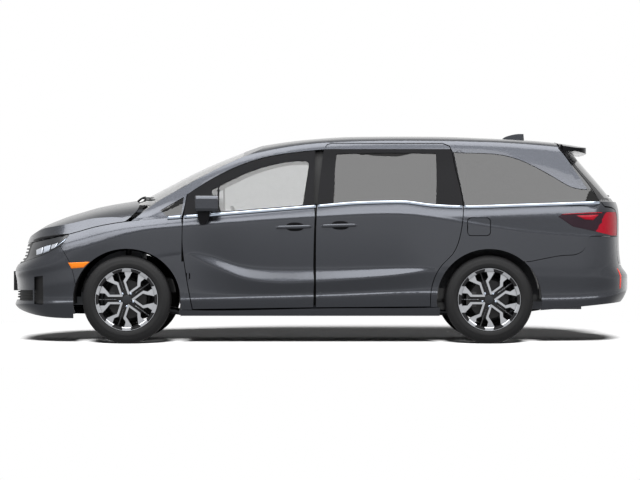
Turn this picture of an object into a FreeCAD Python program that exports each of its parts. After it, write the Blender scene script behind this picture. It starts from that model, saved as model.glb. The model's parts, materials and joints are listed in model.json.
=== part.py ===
"""A seven-seat minivan with two swinging front doors, two sliding rear doors, a bonnet and a lifting
tailgate.

Millimetres. The front of the car is at -X, its left side at -Y, the ground is z = 0 and the origin lies
under the middle of the overall length. The body skin is one closed surface, drawn by guide lines that
run round the car, and every panel is a piece of the walls behind that surface, split where the real
panels meet.
"""

import FreeCAD
import Part
import math
import os

V = FreeCAD.Vector

# Overall sizes
LENGTH = 5212.0
WIDTH = 1994.0
ROOF_HEIGHT = 1741.0
WHEELBASE = 3000.0
FRONT_OVERHANG = 1006.0
TRACK = 1711.0
GROUND_CLEARANCE = 180.0

# Wheels and tyres
TYRE_RADIUS = 366.0
RIM_RADIUS = 241.0
SPOKE_FACE = 88.0
SPOKE_DEPTH = 42.0
HUB_RADIUS = 74.0
ARMS = 5
DISC_RADIUS = 160.0
DISC_THICKNESS = 28.0
ARCH_HALF_LENGTH = 446.0
ARCH_HEIGHT = 420.0
STEER_AXIS_INSET = 60.0

# Walls and gaps
PANEL_GAP = 7.0
DOOR_DEPTH = 80.0
DOOR_CLEARANCE = 30.0
FRAME_DEPTH = 38.0
FRAME_CLEARANCE = 15.0
POST_DEPTH = 150.0
PILLAR_DEPTH = 85.0
QUARTER_WALL = 45.0
SKIN_WALL = 18.0
BUMPER_WALL = 24.0
ROOF_WALL = 28.0
TAILGATE_WALL = 55.0
GLASS = 5.0
GLASS_INSET = 6.0
DOOR_DRAFT = 0.22

# Floor
FLOOR_TOP = 400.0
FLOOR_PLATE = 30.0
FLOOR_HALF_WIDTH = 800.0

# Hinges

FRONT_AXLE = FRONT_OVERHANG - LENGTH / 2
REAR_AXLE = FRONT_AXLE + WHEELBASE
HALF_TRACK = TRACK / 2
FAR = 4000.0

# The lines below are drawn at these design stations, and stretch with the sizes above
DRAWN_LENGTHS = (-2606.0, -1600.0, 1400.0, 2606.0)
DRAWN_HEIGHTS = (0.0, 180.0, 1741.0)
DRAWN_WIDTH = 1994.0


def between(value, drawn, real):
    """Carries a drawn value to its real place, in proportion between the stations on either side."""
    last = len(drawn) - 2
    i = 0
    while i < last and value > drawn[i + 1]:
        i += 1
    share = (value - drawn[i]) / (drawn[i + 1] - drawn[i])
    return real[i] + share * (real[i + 1] - real[i])


def px(x):
    return between(x, DRAWN_LENGTHS, (-LENGTH / 2, FRONT_AXLE, REAR_AXLE, LENGTH / 2))


def py(y):
    return y * WIDTH / DRAWN_WIDTH


def pz(z):
    return between(z, DRAWN_HEIGHTS, (0.0, GROUND_CLEARANCE, ROOF_HEIGHT))


def line_through(stations):
    """A smooth value along the car from a few (station, value) pairs, which never swings past them."""
    xs = [p[0] for p in stations]
    ys = [p[1] for p in stations]
    steps = [(ys[i + 1] - ys[i]) / (xs[i + 1] - xs[i]) for i in range(len(xs) - 1)]
    slopes = [steps[0]]
    for a, b in zip(steps, steps[1:]):
        slopes.append(0.0 if a * b <= 0 else 2 * a * b / (a + b))
    slopes.append(steps[-1])

    def value(x):
        if x <= xs[0]:
            return ys[0]
        if x >= xs[-1]:
            return ys[-1]
        i = max(k for k in range(len(xs) - 1) if xs[k] <= x)
        h = xs[i + 1] - xs[i]
        t = (x - xs[i]) / h
        return (
            ys[i] * (1 + 2 * t) * (1 - t) ** 2
            + slopes[i] * h * t * (1 - t) ** 2
            + ys[i + 1] * t * t * (3 - 2 * t)
            + slopes[i + 1] * h * t * t * (t - 1)
        )

    return value


def spread(first, last, count):
    return [first + (last - first) * i / (count - 1) for i in range(count)]


def spline_surface(rows):
    """A smooth surface that follows a net of control points."""

    def knots(count):
        spans = count - 3
        return [4] + [1] * (spans - 1) + [4], [float(k) for k in range(spans + 1)]

    u_mults, u_knots = knots(len(rows))
    v_mults, v_knots = knots(len(rows[0]))
    surface = Part.BSplineSurface()
    surface.buildFromPolesMultsKnots(rows, u_mults, v_mults, u_knots, v_knots, False, False, 3, 3)
    return surface


# Lines that run the length of the car, as drawn
BELT = line_through([(-2606, 802), (-2400, 836), (-2081, 904), (-1824, 972), (-1600, 1008), (-1270, 1040),
                     (-1000, 1058), (0, 1138),
                     (330, 1164), (670, 1172), (940, 1142), (1180, 1131), (1700, 1145), (2300, 1166)])
LEDGE_OUT = line_through([(-2606, 460), (-2200, 500), (-1600, 640), (-1082, 741), (-950, 675), (-784, 608),
                          (-650, 552), (-480, 520), (-288, 509), (0, 522), (400, 550), (677, 577),
                          (892, 604),
                          (1400, 590), (2200, 560), (2606, 570)])
LEDGE_IN = line_through([(-2606, 530), (-2200, 600), (-1600, 700), (-1082, 757), (-867, 710), (-652, 636),
                         (-405, 612), (0, 611), (500, 620), (793, 626), (892, 628), (1400, 640), (2200, 615),
                         (2606, 620)])
SHOULDER = line_through([(-2606, 700), (-2050, 780), (-1600, 912), (-1414, 949), (-1125, 974), (-744, 1003),
                         (-33, 1051), (330, 1070), (545, 1077), (710, 1073), (991, 1040), (1189, 1007),
                         (1404, 973), (1784, 924), (2300, 890), (2606, 880)])
SHELF = line_through([(-2606, 748), (-2050, 838), (-1600, 958), (-1125, 1006), (-33, 1082), (545, 1107),
                      (710, 1102), (991, 1074), (1189, 1058), (1404, 1063), (2445, 1097), (2606, 1102)])
SHELF_WIDTH = line_through([(-2606, 984), (750, 984), (1189, 990), (1500, 994), (2606, 994)])
LOWER_CREASE = line_through([(-2606, 318), (-2300, 332), (-1150, 362), (0, 389), (900, 419), (1850, 362),
                             (2300, 376), (2606, 440)])
RELIEF = line_through([(-1120, 0), (-650, 1), (560, 1), (980, 0)])
PLAN = line_through([(-1950, 0.955), (-1600, 0.992), (-1100, 0.990), (0, 1.0), (1400, 1.0), (2150, 0.966)])
BELT_WIDTH = line_through([(-2057, 862), (-1824, 905), (-1600, 928), (-1270, 943), (0, 958), (1400, 958),
                           (2150, 925)])

CORNER_FRONT = -1950.0
CORNER_REAR = 2150.0
FRONT_TURNS = (90, 78, 66, 54, 42, 30, 18, 8)
REAR_TURNS = (90, 86, 78, 66, 54, 42, 28, 12)
SIDE_STATIONS = 42
SKIN_TOP = 1330.0

# Guide lines of the skin, from the bottom up: nose x and tail x, how square its front and rear corners are,
# height along the car, half width along the car
GUIDES = (
    (-2330, 2380, 2.8, 2.8, lambda x: 90, lambda x: 880),
    (-2470, 2470, 2.8, 2.8, line_through([(-2606, 232), (-2200, 185), (2000, 185), (2606, 300)]),
     lambda x: 918 * PLAN(x)),
    (-2548, 2562, 2.8, 2.8, line_through([(-2606, 272), (-2200, 235), (2000, 240), (2606, 345)]),
     lambda x: 955 * PLAN(x)),
    (-2592, 2604, 2.9, 2.8, lambda x: LOWER_CREASE(x) - 12, lambda x: 976 * PLAN(x)),
    (-2594, 2610, 2.9, 2.8, lambda x: LOWER_CREASE(x) + 6, lambda x: 976 * PLAN(x)),
    (-2578, 2612, 2.9, 2.8, lambda x: LOWER_CREASE(x) + 24, lambda x: 964 * PLAN(x)),
    (-2574, 2612, 2.9, 2.8, lambda x: LEDGE_OUT(x) - 14, lambda x: (980 + 12 * RELIEF(x)) * PLAN(x)),
    (-2574, 2606, 2.9, 2.8, lambda x: LEDGE_OUT(x) + 4, lambda x: (980 + 11 * RELIEF(x)) * PLAN(x)),
    (-2580, 2572, 2.9, 2.9, lambda x: LEDGE_IN(x) - 4, lambda x: (983 - 17 * RELIEF(x)) * PLAN(x)),
    (-2586, 2552, 2.9, 3.0, lambda x: LEDGE_IN(x) + 14, lambda x: (984 - 18 * RELIEF(x)) * PLAN(x)),
    (-2600, 2532, 2.9, 3.2, lambda x: 0.5 * LEDGE_IN(x) + 0.5 * SHOULDER(x),
     lambda x: (990 - 8 * RELIEF(x)) * PLAN(x)),
    (-2530, 2530, 2.7, 3.2, lambda x: SHOULDER(x) - 16, lambda x: 996 * PLAN(x)),
    (-2520, 2530, 2.7, 3.2, lambda x: SHOULDER(x) + 2, lambda x: 996 * PLAN(x)),
    (-2514, 2530, 2.7, 3.2, lambda x: SHOULDER(x) + 18, lambda x: 991 * PLAN(x)),
    (-2506, 2532, 2.7, 3.2, SHELF, lambda x: SHELF_WIDTH(x) * PLAN(x)),
    (-2494, 2512, 2.7, 3.2, BELT, BELT_WIDTH),
    (-2466, 2478, 2.7, 3.2, lambda x: BELT(x) + 70, lambda x: BELT_WIDTH(x) - 60),
    (-2300, 2440, 2.7, 3.2, lambda x: SKIN_TOP, lambda x: BELT_WIDTH(x) - 300),
)


def corner(turns, station, end, roundness, height, width):
    """Points round one end of the car, from its middle to the start of the side."""
    points = []
    for turn in turns:
        x = station + (end - station) * math.sin(math.radians(turn)) ** (2 / roundness)
        y = width * abs(math.cos(math.radians(turn))) ** (2 / roundness)
        points.append((x, 0.0 if turn == 90 else y, height(x)))
    return points


def guide_points(guide, inset, longer):
    """One guide line from the middle of the tail, along the left side, to the middle of the nose."""
    nose, tail, front_round, rear_round, level, width = guide
    stretch = longer * ((guide is GUIDES[-1]) - (guide is GUIDES[0]))

    def height(x):
        return level(x) + stretch

    rear = corner(REAR_TURNS, CORNER_REAR, tail - inset, rear_round, height, width(CORNER_REAR) - inset)
    side = [(x, width(x) - inset, height(x)) for x in spread(CORNER_REAR, CORNER_FRONT, SIDE_STATIONS)]
    front = corner(FRONT_TURNS, CORNER_FRONT, nose + inset, front_round, height, width(CORNER_FRONT) - inset)
    return rear + side + front[::-1]


def skin_surface(inset=0.0, longer=0.0):
    """The closed skin of the lower body, or a copy of it further in, whose ends may stand further out."""
    columns = []
    left = list(zip(*[guide_points(g, inset, longer) for g in GUIDES]))
    for column in left:
        columns.append([V(px(x), -py(y), pz(z)) for x, y, z in column])
    for column in left[-2::-1]:
        columns.append([V(px(x), py(y), pz(z)) for x, y, z in column])
    return spline_surface(columns)


def tube(surface):
    """A solid inside a closed surface whose two ends lie flat."""
    wall = surface.toShape()
    ends = [Part.Face(Part.Wire(e)) for e in wall.Edges if e.BoundBox.ZLength < 0.01]
    shell = Part.makeShell([wall] + ends)
    shell.sewShape()
    return Part.makeSolid(shell)


# Upper body: rows from the left sill of the glass, over the roof, to the right
ROOF_LINE = line_through([(-1760, 1190), (-1400, 1330), (-1084, 1480), (-800, 1590), (-599, 1642),
                          (-428, 1672),
                          (-257, 1698), (0, 1723), (257, 1738), (685, 1741), (1027, 1739), (1369, 1727),
                          (1797, 1706), (2054, 1680), (2250, 1648), (2560, 1600)])
RAIL = line_through([(-1760, 985), (-1600, 1045), (-1400, 1160), (-1084, 1325), (-887, 1437), (-570, 1560),
                     (-200, 1640), (40, 1667), (700, 1684), (1400, 1674), (1957, 1636), (2250, 1592),
                     (2560, 1540)])
RAIL_WIDTH = line_through([(-1760, 880), (-1400, 838), (-1084, 795), (-570, 735), (0, 712), (1500, 702),
                           (2560, 664)])
GLASS_TOP = lambda x: RAIL(x) - 64
UPPER_STATIONS = 44
UPPER_FRONT = -1760.0
UPPER_REAR = 2560.0


def upper_row(x):
    """Half a cross-section of the upper body, from below the beltline to the middle of the roof."""
    belt, rail, roof, width = BELT(x), RAIL(x), ROOF_LINE(x), RAIL_WIDTH(x)
    base = BELT_WIDTH(x) - 20
    top = max(GLASS_TOP(x), belt + 40)
    upright = top - belt
    lean = (base - width - 34) / max(upright, 1)
    return [
        (base + 110 * lean + 14, belt - 110),
        (base, belt),
        (base - 0.5 * upright * lean + 14, belt + 0.5 * upright),
        (width + 36, top),
        (width + 8, max(rail, top + 20)),
        (width - 52, max(rail + 0.56 * (roof - rail), top + 30)),
        (0.56 * width, roof - 13),
        (0.22 * width, roof - 1),
    ]


def upper_surface(inset=0.0, drop=0.0):
    columns = []
    for x in spread(UPPER_FRONT, UPPER_REAR, UPPER_STATIONS):
        half = upper_row(x)
        left = [V(px(x), -py(y - inset), pz(z - drop)) for y, z in half]
        right = [V(px(x), py(y - inset), pz(z - drop)) for y, z in half[::-1]]
        columns.append(left + right)
    return spline_surface(columns)


BONNET_LINE = line_through([(-2620, 740), (-2530, 812), (-2488, 856), (-2430, 902), (-2396, 926),
                            (-2311, 988),
                            (-2225, 1023), (-2140, 1057), (-2054, 1083), (-1968, 1108), (-1883, 1133),
                            (-1797, 1151), (-1712, 1167), (-1600, 1184), (-1330, 1230)])
SCREEN = line_through([(950, -1900), (1100, -1660), (1185, -1535), (1269, -1372), (1363, -1195),
                       (1457, -1008),
                       (1534, -830), (1606, -650), (1760, -200)])
SCREEN_SETBACK = 168.0
REAR_GLASS = line_through([(900, 2640), (1166, 2512), (1260, 2440), (1354, 2362), (1457, 2272), (1610, 2140),
                           (1760, 2010)])
REAR_SETBACK = 168.0
PILLAR_Y = 780.0


def end_surface(profile, setback, power, sign, shift=0.0):
    """The windscreen or the rear glass: a raked profile that bows back towards the pillars."""
    rows = []
    for z in spread(900, 1800, 16):
        rows.append([V(px(profile(z) + sign * setback * abs(y / PILLAR_Y) ** power + shift), py(y), pz(z))
                     for y in spread(-1060, 1060, 23)])
    return spline_surface(rows)


def wire(segments, place):
    """A closed outline from segments. Two points make a straight edge, and more make a curve."""
    edges = []
    previous = None
    first = place(segments[0][0])
    for points in segments:
        spots = [place(p) for p in points]
        if previous is not None and previous.distanceToPoint(spots[0]) > 0.01:
            edges.append(Part.makeLine(previous, spots[0]))
        if len(spots) == 2:
            edges.append(Part.makeLine(spots[0], spots[1]))
        else:
            arc = Part.BSplineCurve()
            arc.interpolate(spots)
            edges.append(arc.toShape())
        previous = spots[-1]
    if previous.distanceToPoint(first) > 0.01:
        edges.append(Part.makeLine(previous, first))
    return Part.Wire(edges)


def side_prism(segments, start=-1300.0, end=-300.0, draft=0.0):
    """A side-view outline, pushed through one side of the car. Draft makes it creep forward as it goes in."""
    face = Part.Face(wire(segments, lambda p: V(px(p[0]), start, pz(p[1]))))
    return face.extrude(V(-draft * (end - start), end - start, 0))


def front_prism(segments, start, end):
    face = Part.Face(wire(segments, lambda p: V(px(start), py(p[0]), pz(p[1]))))
    return face.extrude(V(px(end) - px(start), 0, 0))


def shifted(points, dx=0.0, dz=0.0):
    return [(x + dx, z + dz) for x, z in points]


def box(x0, x1, y0, y1, z0, z1):
    return Part.makeBox(x1 - x0, y1 - y0, z1 - z0, V(x0, y0, z0))


def drawn_box(x0, x1, y0, y1, z0, z1):
    """A box given as drawn, which stretches with the car."""
    return box(px(x0), px(x1), py(y0), py(y1), pz(z0), pz(z1))


def spot(x, y, z):
    return V(px(x), py(y), pz(z))


def mirrored(shape):
    return shape.mirror(V(0, 0, 0), V(0, 1, 0))


def bar(points, radius):
    """A round bar through points, with a ball at each corner."""
    pieces = []
    for a, b in zip(points, points[1:]):
        way = b - a
        pieces.append(Part.makeCylinder(radius, way.Length, a, way))
    for p in points[1:-1]:
        pieces.append(Part.makeSphere(radius, p))
    return pieces[0].multiFuse(pieces[1:]) if len(pieces) > 1 else pieces[0]


def fuse(shapes):
    if len(shapes) == 1:
        return shapes[0]
    return shapes[0].multiFuse(shapes[1:])


def save(node, *shapes):
    """Writes one node. Its shapes stay separate solids."""
    solids = []
    for shape in shapes:
        solids += shape.Solids
    if not solids:
        raise ValueError("no solid in " + node)
    bad = [s for s in solids if not s.isValid() or s.Volume <= 0]
    print(node, len(solids), "solids", round(sum(s.Volume for s in solids) / 1e6, 2), "litres", "BAD"
          if bad else "")
    whole = solids[0] if len(solids) == 1 else Part.makeCompound(solids)
    whole.exportStep(os.path.join("parts", node + ".step"))


# Seams between the panels, in side view
GAP = PANEL_GAP
SEAM_A = [(-1099, 1240), (-1122, 1108), (-1132, 1007), (-1137, 838), (-1120, 669), (-1094, 500),
          (-1052, 283)]
SEAM_A_TOP = [(-1099, 1240), (-881, 1378), (-542, 1527), (-202, 1592), (33, 1614)]
SEAM_B = [(33, 1614), (8, 1430), (-22, 1138), (-33, 669), (-33, 298)]
SEAM_C = [(1107, 1588), (1144, 1383), (1189, 1131), (1181, 1007), (1147, 838), (1096, 737), (1029, 669),
          (969, 585), (936, 500), (919, 305)]


def bonnet_surface(drop=0.0, inset=0.0):
    """The bonnet's top, drawn by rows across the car."""
    rows = []
    for x in spread(-2620, -1330, 24):
        top = BONNET_LINE(x)
        edge = BELT(x)
        rise = top - edge
        half = [
            (1010, edge - 0.9 * rise - 30),
            (955, edge - 0.10 * rise),
            (870, edge + 0.42 * rise),
            (690, edge + 0.77 * rise),
            (380, edge + 0.97 * rise),
            (120, top + 1),
        ]
        left = [V(px(x), -py(y - inset), pz(z - drop)) for y, z in half]
        right = [V(px(x), py(y - inset), pz(z - drop)) for y, z in half[::-1]]
        rows.append(left + right)
    return spline_surface(rows).toShape()


class Body:
    """The surfaces and walls that every panel is cut from."""

    def __init__(self):
        skin = skin_surface()
        self.tube = tube(skin)
        first = len(REAR_TURNS) - 2
        side = skin.copy()
        side.segment(float(first), float(first + SIDE_STATIONS - 1), 0.0, float(len(GUIDES) - 3))
        self.side = side.toShape()
        upper = upper_surface()
        self.upper = upper.toShape()
        self.under_roof = self.upper.extrude(V(0, 0, -900))
        self.under_headliner = upper_surface(ROOF_WALL + 6, ROOF_WALL).toShape().extrude(V(0, 0, -900))
        flank = upper.copy()
        flank.segment(0.0, float(UPPER_STATIONS - 3), 0.0, 3.7)
        self.flank = flank.toShape()
        self.below_bonnet = bonnet_surface().extrude(V(0, 0, -1500))

    def screen(self, shift=0.0):
        """Everything behind the windscreen's plane."""
        face = end_surface(SCREEN, SCREEN_SETBACK, 2.0, 1, shift)
        return face.toShape().extrude(V(FAR, 0, 0))

    def rear(self, shift=0.0):
        """Everything before the rear glass's plane."""
        face = end_surface(REAR_GLASS, REAR_SETBACK, 2.2, -1, shift)
        return face.toShape().extrude(V(-FAR, 0, 0))

    def shell(self, outer, inner):
        """The closed lower skin as a sleeve, between two depths."""
        sleeve = self.tube if outer == 0 else tube(skin_surface(outer))
        return sleeve.cut(tube(skin_surface(inner, 20)))

    def lower_wall(self, outer, inner):
        """The left side's wall below the beltline, between two depths behind the skin."""
        face = self.side.copy()
        face.translate(V(0, outer, 0))
        return face.extrude(V(0, inner - outer, 0))

    def upper_wall(self, outer, inner):
        """The left side's wall above the beltline, between two depths behind the skin."""
        face = self.flank.copy()
        face.translate(V(0, outer, 0))
        return face.extrude(V(0, inner - outer, 0))


def whole_side(segments):
    """A side-view outline, pushed through the whole width."""
    return side_prism(segments, -1400.0, 1400.0)


def along(line, x0, x1, rise=0.0, count=15):
    return [(x, line(x) + rise) for x in spread(x0, x1, count)]


def over(line, x0, x1, rise=0.0, top=2300.0):
    """A side-view region over a line that runs along the car."""
    return [along(line, x0, x1, rise), [(x1, top), (x0, top)]]


def under(line, x0, x1, rise=0.0, bottom=-100.0):
    """A side-view region under a line that runs along the car."""
    return [along(line, x0, x1, rise), [(x1, bottom), (x0, bottom)]]


def both(shape):
    return [shape, mirrored(shape)]


body = Body()

# Outlines in side view, as drawn
ROOF_PLAN = [[(x, -RAIL_WIDTH(x) + 22) for x in spread(-1760, 2560, 22)],
             [(x, RAIL_WIDTH(x) - 22) for x in spread(2560, -1760, 22)]]
ROOF_PLAN_WIDE = [[(x, -RAIL_WIDTH(x) + 16) for x in spread(-1760, 2560, 22)],
                  [(x, RAIL_WIDTH(x) - 16) for x in spread(2560, -1760, 22)]]
SEAM_GATE = [(1990, 1800), (1990, 1620), (2045, 1556), (2150, 1424), (2260, 1283), (2320, 1182),
             (2385, 1112)]
GATE_TOP_X = 1990.0
GATE_SIDE = [[(640, 650), (690, 900), (715, 1092), (760, 1112), (1100, 1112)], [(1100, 1112), (1100, 2000)],
             [(1100, 2000), (-1100, 2000)], [(-1100, 2000), (-1100, 1112)],
             [(-1100, 1112), (-760, 1112), (-715, 1092), (-690, 900), (-640, 650)]]
BUMPER_TOP = [(-2760, 636), (-2520, 660), (-2440, 686), (-2354, 714), (-2260, 752), (-2189, 788),
              (-2153, 803)]
BUMPER_BACK = [(-2153, 803), (-2110, 738), (-2071, 661), (-2030, 500), (-2010, 380)]
REAR_BUMPER_TOP = [(1735, 676), (1880, 706), (2023, 728), (2140, 744), (2186, 780), (2216, 850), (2240, 887)]
REAR_BUMPER_TOP_GAP = [(x + 2, z + 6) for x, z in REAR_BUMPER_TOP]
TAIL_LAMP = [(1970, 1052), (2001, 1074), (2240, 1088), (2700, 1098), (2700, 892), (2423, 895), (2285, 927),
             (2092, 968)]
UNDERSIDE = line_through([(-2640, 325), (-2582, 312), (-2533, 286), (-2482, 262), (-2430, 246), (-2311, 221),
                          (-2000, 210), (-1200, 214), (-1100, 230), (960, 230), (1100, 250), (1700, 268),
                          (2080, 300), (2300, 320), (2521, 336), (2640, 350)])
WINDOW_RISE = 12.0
SEAM_GATE_LINE = SEAM_GATE[1:]
FUEL_DOOR = (1215, 1411, 891, 1045)
FRONT_TRIANGLE = [(-1324, 1104), (-1130, 1216), (-1138, 1150), (-1146, 1072), (-1268, 1056)]


def polygon(points):
    return [[a, b] for a, b in zip(points, points[1:] + points[:1])]


def outline(*curves):
    return [list(c) for c in curves]


def rounded(size, radius, inset):
    """A rectangle with round corners, set in all round."""
    x0, x1, z0, z1 = size
    x0, x1, z0, z1 = x0 + inset, x1 - inset, z0 + inset, z1 - inset
    r = radius
    turns = [math.radians(a) for a in (0, 30, 60, 90)]

    def arc(cx, cz, start):
        return [(cx + r * math.cos(t + start), cz + r * math.sin(t + start)) for t in turns]

    quarter_turn = math.pi / 2
    arcs = [arc(x1 - r, z1 - r, 0), arc(x0 + r, z1 - r, quarter_turn), arc(x0 + r, z0 + r, 2 * quarter_turn),
            arc(x1 - r, z0 + r, 3 * quarter_turn)]
    sides = []
    for a, b in zip(arcs, arcs[1:] + arcs[:1]):
        sides += [a, [a[-1], b[0]]]
    return sides


def seam(points, dx=0.0, foot=0.0):
    """A seam moved along the car, with its lowest point raised."""
    moved = shifted(points, dx)
    return moved[:-1] + [(moved[-1][0], moved[-1][1] + foot)]


def window(front, top, rear, x0, x1):
    """A window's edge: its front, top and rear curves, closed along the beltline."""
    return outline(along(BELT, x1, x0, WINDOW_RISE, 7), [(x0, BELT(x0) + WINDOW_RISE)] + front,
                   [front[-1]] + top,
                   [top[-1]] + rear + [(x1, BELT(x1) + WINDOW_RISE)])


FRONT_WINDOW = outline([(-836, 1108), (-836, 1309)],
                       [(-836, 1309), (-714, 1369), (-592, 1424), (-471, 1466), (-349, 1497),
                        (-227, 1515), (-128, 1517)],
                       [(-128, 1517), (-104, 1508), (-92, 1484)], [(-92, 1484), (-142, 1158)],
                       along(BELT, -142, -836, WINDOW_RISE + 8, 7))
FRONT_VENT = [(-896, 1122), (-896, 1276), (-852, 1298), (-852, 1118)]
SLIDER_WINDOW = window([(122, 1360), (130, 1500), (140, 1574)], [(420, 1583), (700, 1584), (966, 1578)],
                       [(968, 1380)], 110, 960)
QUARTER_WINDOW = outline([(1114, 1590), (1252, 1584), (1508, 1569), (1660, 1528), (1811, 1457), (1962, 1371),
                          (2095, 1298), (2175, 1281), (2252, 1280)], [(2252, 1280), (2312, 1190)],
                         along(BELT, 2312, 1200, WINDOW_RISE, 9), [(1200, BELT(1200) + WINDOW_RISE),
                                                                   (1153, 1383),
                                                                    (1114, 1590)])


QUARTER_SIGHT = [(1188, 1522), (1336, 1517), (1426, 1485), (1681, 1326), (1687, 1263), (1242, 1250)]
BLACK_LINE = [(-300, 1616), (1600, 1616)]


def door_outline(gap_rear, gap_top, gap_bottom):
    """The front door's edge, set in from the seams."""
    front = seam(SEAM_A, 0, gap_bottom)
    rear = seam(SEAM_B, -gap_rear, gap_bottom)
    top = [(SEAM_A_TOP[0][0], SEAM_A_TOP[0][1])] + shifted(SEAM_A_TOP[1:-1], 0, -gap_top) + [rear[0]]
    return outline(front, [front[-1], rear[-1]], rear[::-1], top[::-1])


def slider_outline(gap_front, gap_rear, gap_top, gap_bottom):
    """The sliding door's edge, set in from the seams."""
    front = seam(SEAM_B, gap_front, gap_bottom)
    rear = seam(SEAM_C, -gap_rear, gap_bottom)
    lift = 1668 - gap_top
    return outline(front[::-1], [front[0], (60, lift - 12)], [(60, lift - 12), (96, lift)],
                   [(96, lift), (1020, lift)], [(1020, lift), (1076, lift - 22)],
                   [(1076, lift - 22), rear[0]], rear,
                   [rear[-1], front[-1]])


def arch_hole(x, half_length, height, start=-1300.0, end=1300.0):
    """The opening over one axle, a little lower than round, right across the car."""
    oval = Part.Ellipse(V(x, start, TYRE_RADIUS), half_length, height)
    oval.Axis = V(0, -1, 0)
    oval.XAxis = V(1, 0, 0)
    round_part = Part.Face(Part.Wire(oval.toShape())).extrude(V(0, end - start, 0))
    return round_part.fuse(box(x - half_length, x + half_length, start, end, -200, TYRE_RADIUS - 120))


FRONT_ARCH = arch_hole(FRONT_AXLE, ARCH_HALF_LENGTH, ARCH_HEIGHT)
REAR_ARCH = arch_hole(REAR_AXLE, ARCH_HALF_LENGTH - 12, ARCH_HEIGHT - 2)
UNDER_CUT = whole_side(under(UNDERSIDE, -2640, 2640))
GATE_FRONT = front_prism(GATE_SIDE, 1700, 3000)


def gate_region(gap, foot):
    """Side view of everything behind the tailgate's seam."""
    line = shifted(SEAM_GATE_LINE, gap)
    return outline([(line[0][0], 1900), line[0]], line, [line[-1], (line[-1][0], foot)],
                   [(line[-1][0], foot), (3000, foot)], [(3000, foot), (3000, 1900)])


GATE_BEHIND = whole_side(gate_region(0, 600))


# Hinges of the front doors, on the door's own axis, at two heights
DOOR_AXIS = (-1092.0, -962.0)
HINGE_HEIGHTS = (560.0, 880.0)
HINGE_HALF = 22.0
PIN = 5.0
PIN_GAP = 0.3


def hinge_pocket(z):
    """The room in the door round one hinge."""
    return box(px(DOOR_AXIS[0]) - 62, px(DOOR_AXIS[0]) + 18, py(-978), py(-850), pz(z) - HINGE_HALF - 2,
               pz(z) + HINGE_HALF + 2)


def hinge_pin(z):
    reach = HINGE_HALF + 10
    return Part.makeCylinder(PIN, 2 * reach, spot(DOOR_AXIS[0], DOOR_AXIS[1], z) - V(0, 0, reach))


def hinge_leaf(z):
    """The body's half of one hinge: an eye round the pin and an arm to the post."""
    foot = spot(DOOR_AXIS[0], DOOR_AXIS[1], z) - V(0, 0, HINGE_HALF)
    eye = Part.makeCylinder(2 * PIN + 1, 2 * HINGE_HALF, foot)
    arm = box(foot.x - 8, foot.x + 8, foot.y, py(-838), foot.z, foot.z + 2 * HINGE_HALF)
    return eye.fuse(arm).cut(Part.makeCylinder(PIN + PIN_GAP, 3 * HINGE_HALF, foot - V(0, 0, 10)))


# Front and sliding doors
roof_plan = Part.Face(wire(ROOF_PLAN, lambda p: V(px(p[0]), py(p[1]), 500))).extrude(V(0, 0, 2000))
wide_plan = Part.Face(wire(ROOF_PLAN_WIDE, lambda p: V(px(p[0]), py(p[1]), 500))).extrude(V(0, 0, 2000))
front_lower = body.lower_wall(0, DOOR_DEPTH)
belt_split = side_prism(under(BELT, -1400, 1400, 6))
frame_split = side_prism(over(BELT, -1400, 1400, -30))
frame = body.upper_wall(0, FRAME_DEPTH)
hole = side_prism(FRONT_WINDOW).fuse(side_prism(polygon(FRONT_VENT)))
door_cut = side_prism(door_outline(GAP, GAP, 4))
front_door = front_lower.common(belt_split).fuse(frame.common(frame_split)).common(door_cut)
slant = side_prism(outline(shifted(SEAM_B[::-1], -GAP), [(33 - GAP, 1614), (300, 1700)],
                           [(300, 1700), (300, 298)]),
                   start=-1040.0, end=-600.0, draft=DOOR_DRAFT)
front_door = front_door.cut(slant).cut(hole).cut(wide_plan)
front_door = front_door.cut(fuse([hinge_pocket(z) for z in HINGE_HEIGHTS]))
front_door = fuse([front_door] + [hinge_pin(z) for z in HINGE_HEIGHTS])
save("door_front_left", front_door)
save("door_front_right", mirrored(front_door))

# The sliding door's frame is one wall in two parts, black below the line and painted above it
slider_cut = side_prism(slider_outline(0, GAP, GAP, 4))
slider_hole = side_prism(SLIDER_WINDOW)
black_split = side_prism(outline(BLACK_LINE, [(1600, 1616), (1600, -100)], [(1600, -100), (-300, -100)],
                                 [(-300, -100), (-300, 1616)]))
slider_frame = frame.common(frame_split)
slider_parts = [front_lower.common(belt_split), slider_frame.common(black_split),
                slider_frame.cut(black_split)]
slider = fuse([part.common(slider_cut).cut(slider_hole).cut(wide_plan) for part in slider_parts])
save("sliding_door_left", slider)
save("sliding_door_right", mirrored(slider))

glass_wall = body.upper_wall(GLASS_INSET, GLASS_INSET + GLASS)
door_glass = glass_wall.common(hole)
save("door_glass_left", door_glass)
save("door_glass_right", mirrored(door_glass))
slider_glass = glass_wall.common(slider_hole)
quarter_hole = side_prism(QUARTER_WINDOW)
quarter_glass = glass_wall.common(quarter_hole)
triangle_hole = side_prism(polygon(FRONT_TRIANGLE))
triangle_glass = glass_wall.common(triangle_hole)
save("fixed_side_glass", slider_glass, mirrored(slider_glass), quarter_glass, mirrored(quarter_glass),
     triangle_glass, mirrored(triangle_glass))
quarter_trim = body.upper_wall(GLASS_INSET + GLASS + 1, QUARTER_WALL - 8).common(quarter_hole)
quarter_trim = quarter_trim.cut(side_prism(polygon(QUARTER_SIGHT)))
save("quarter_trims", quarter_trim, mirrored(quarter_trim))

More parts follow.
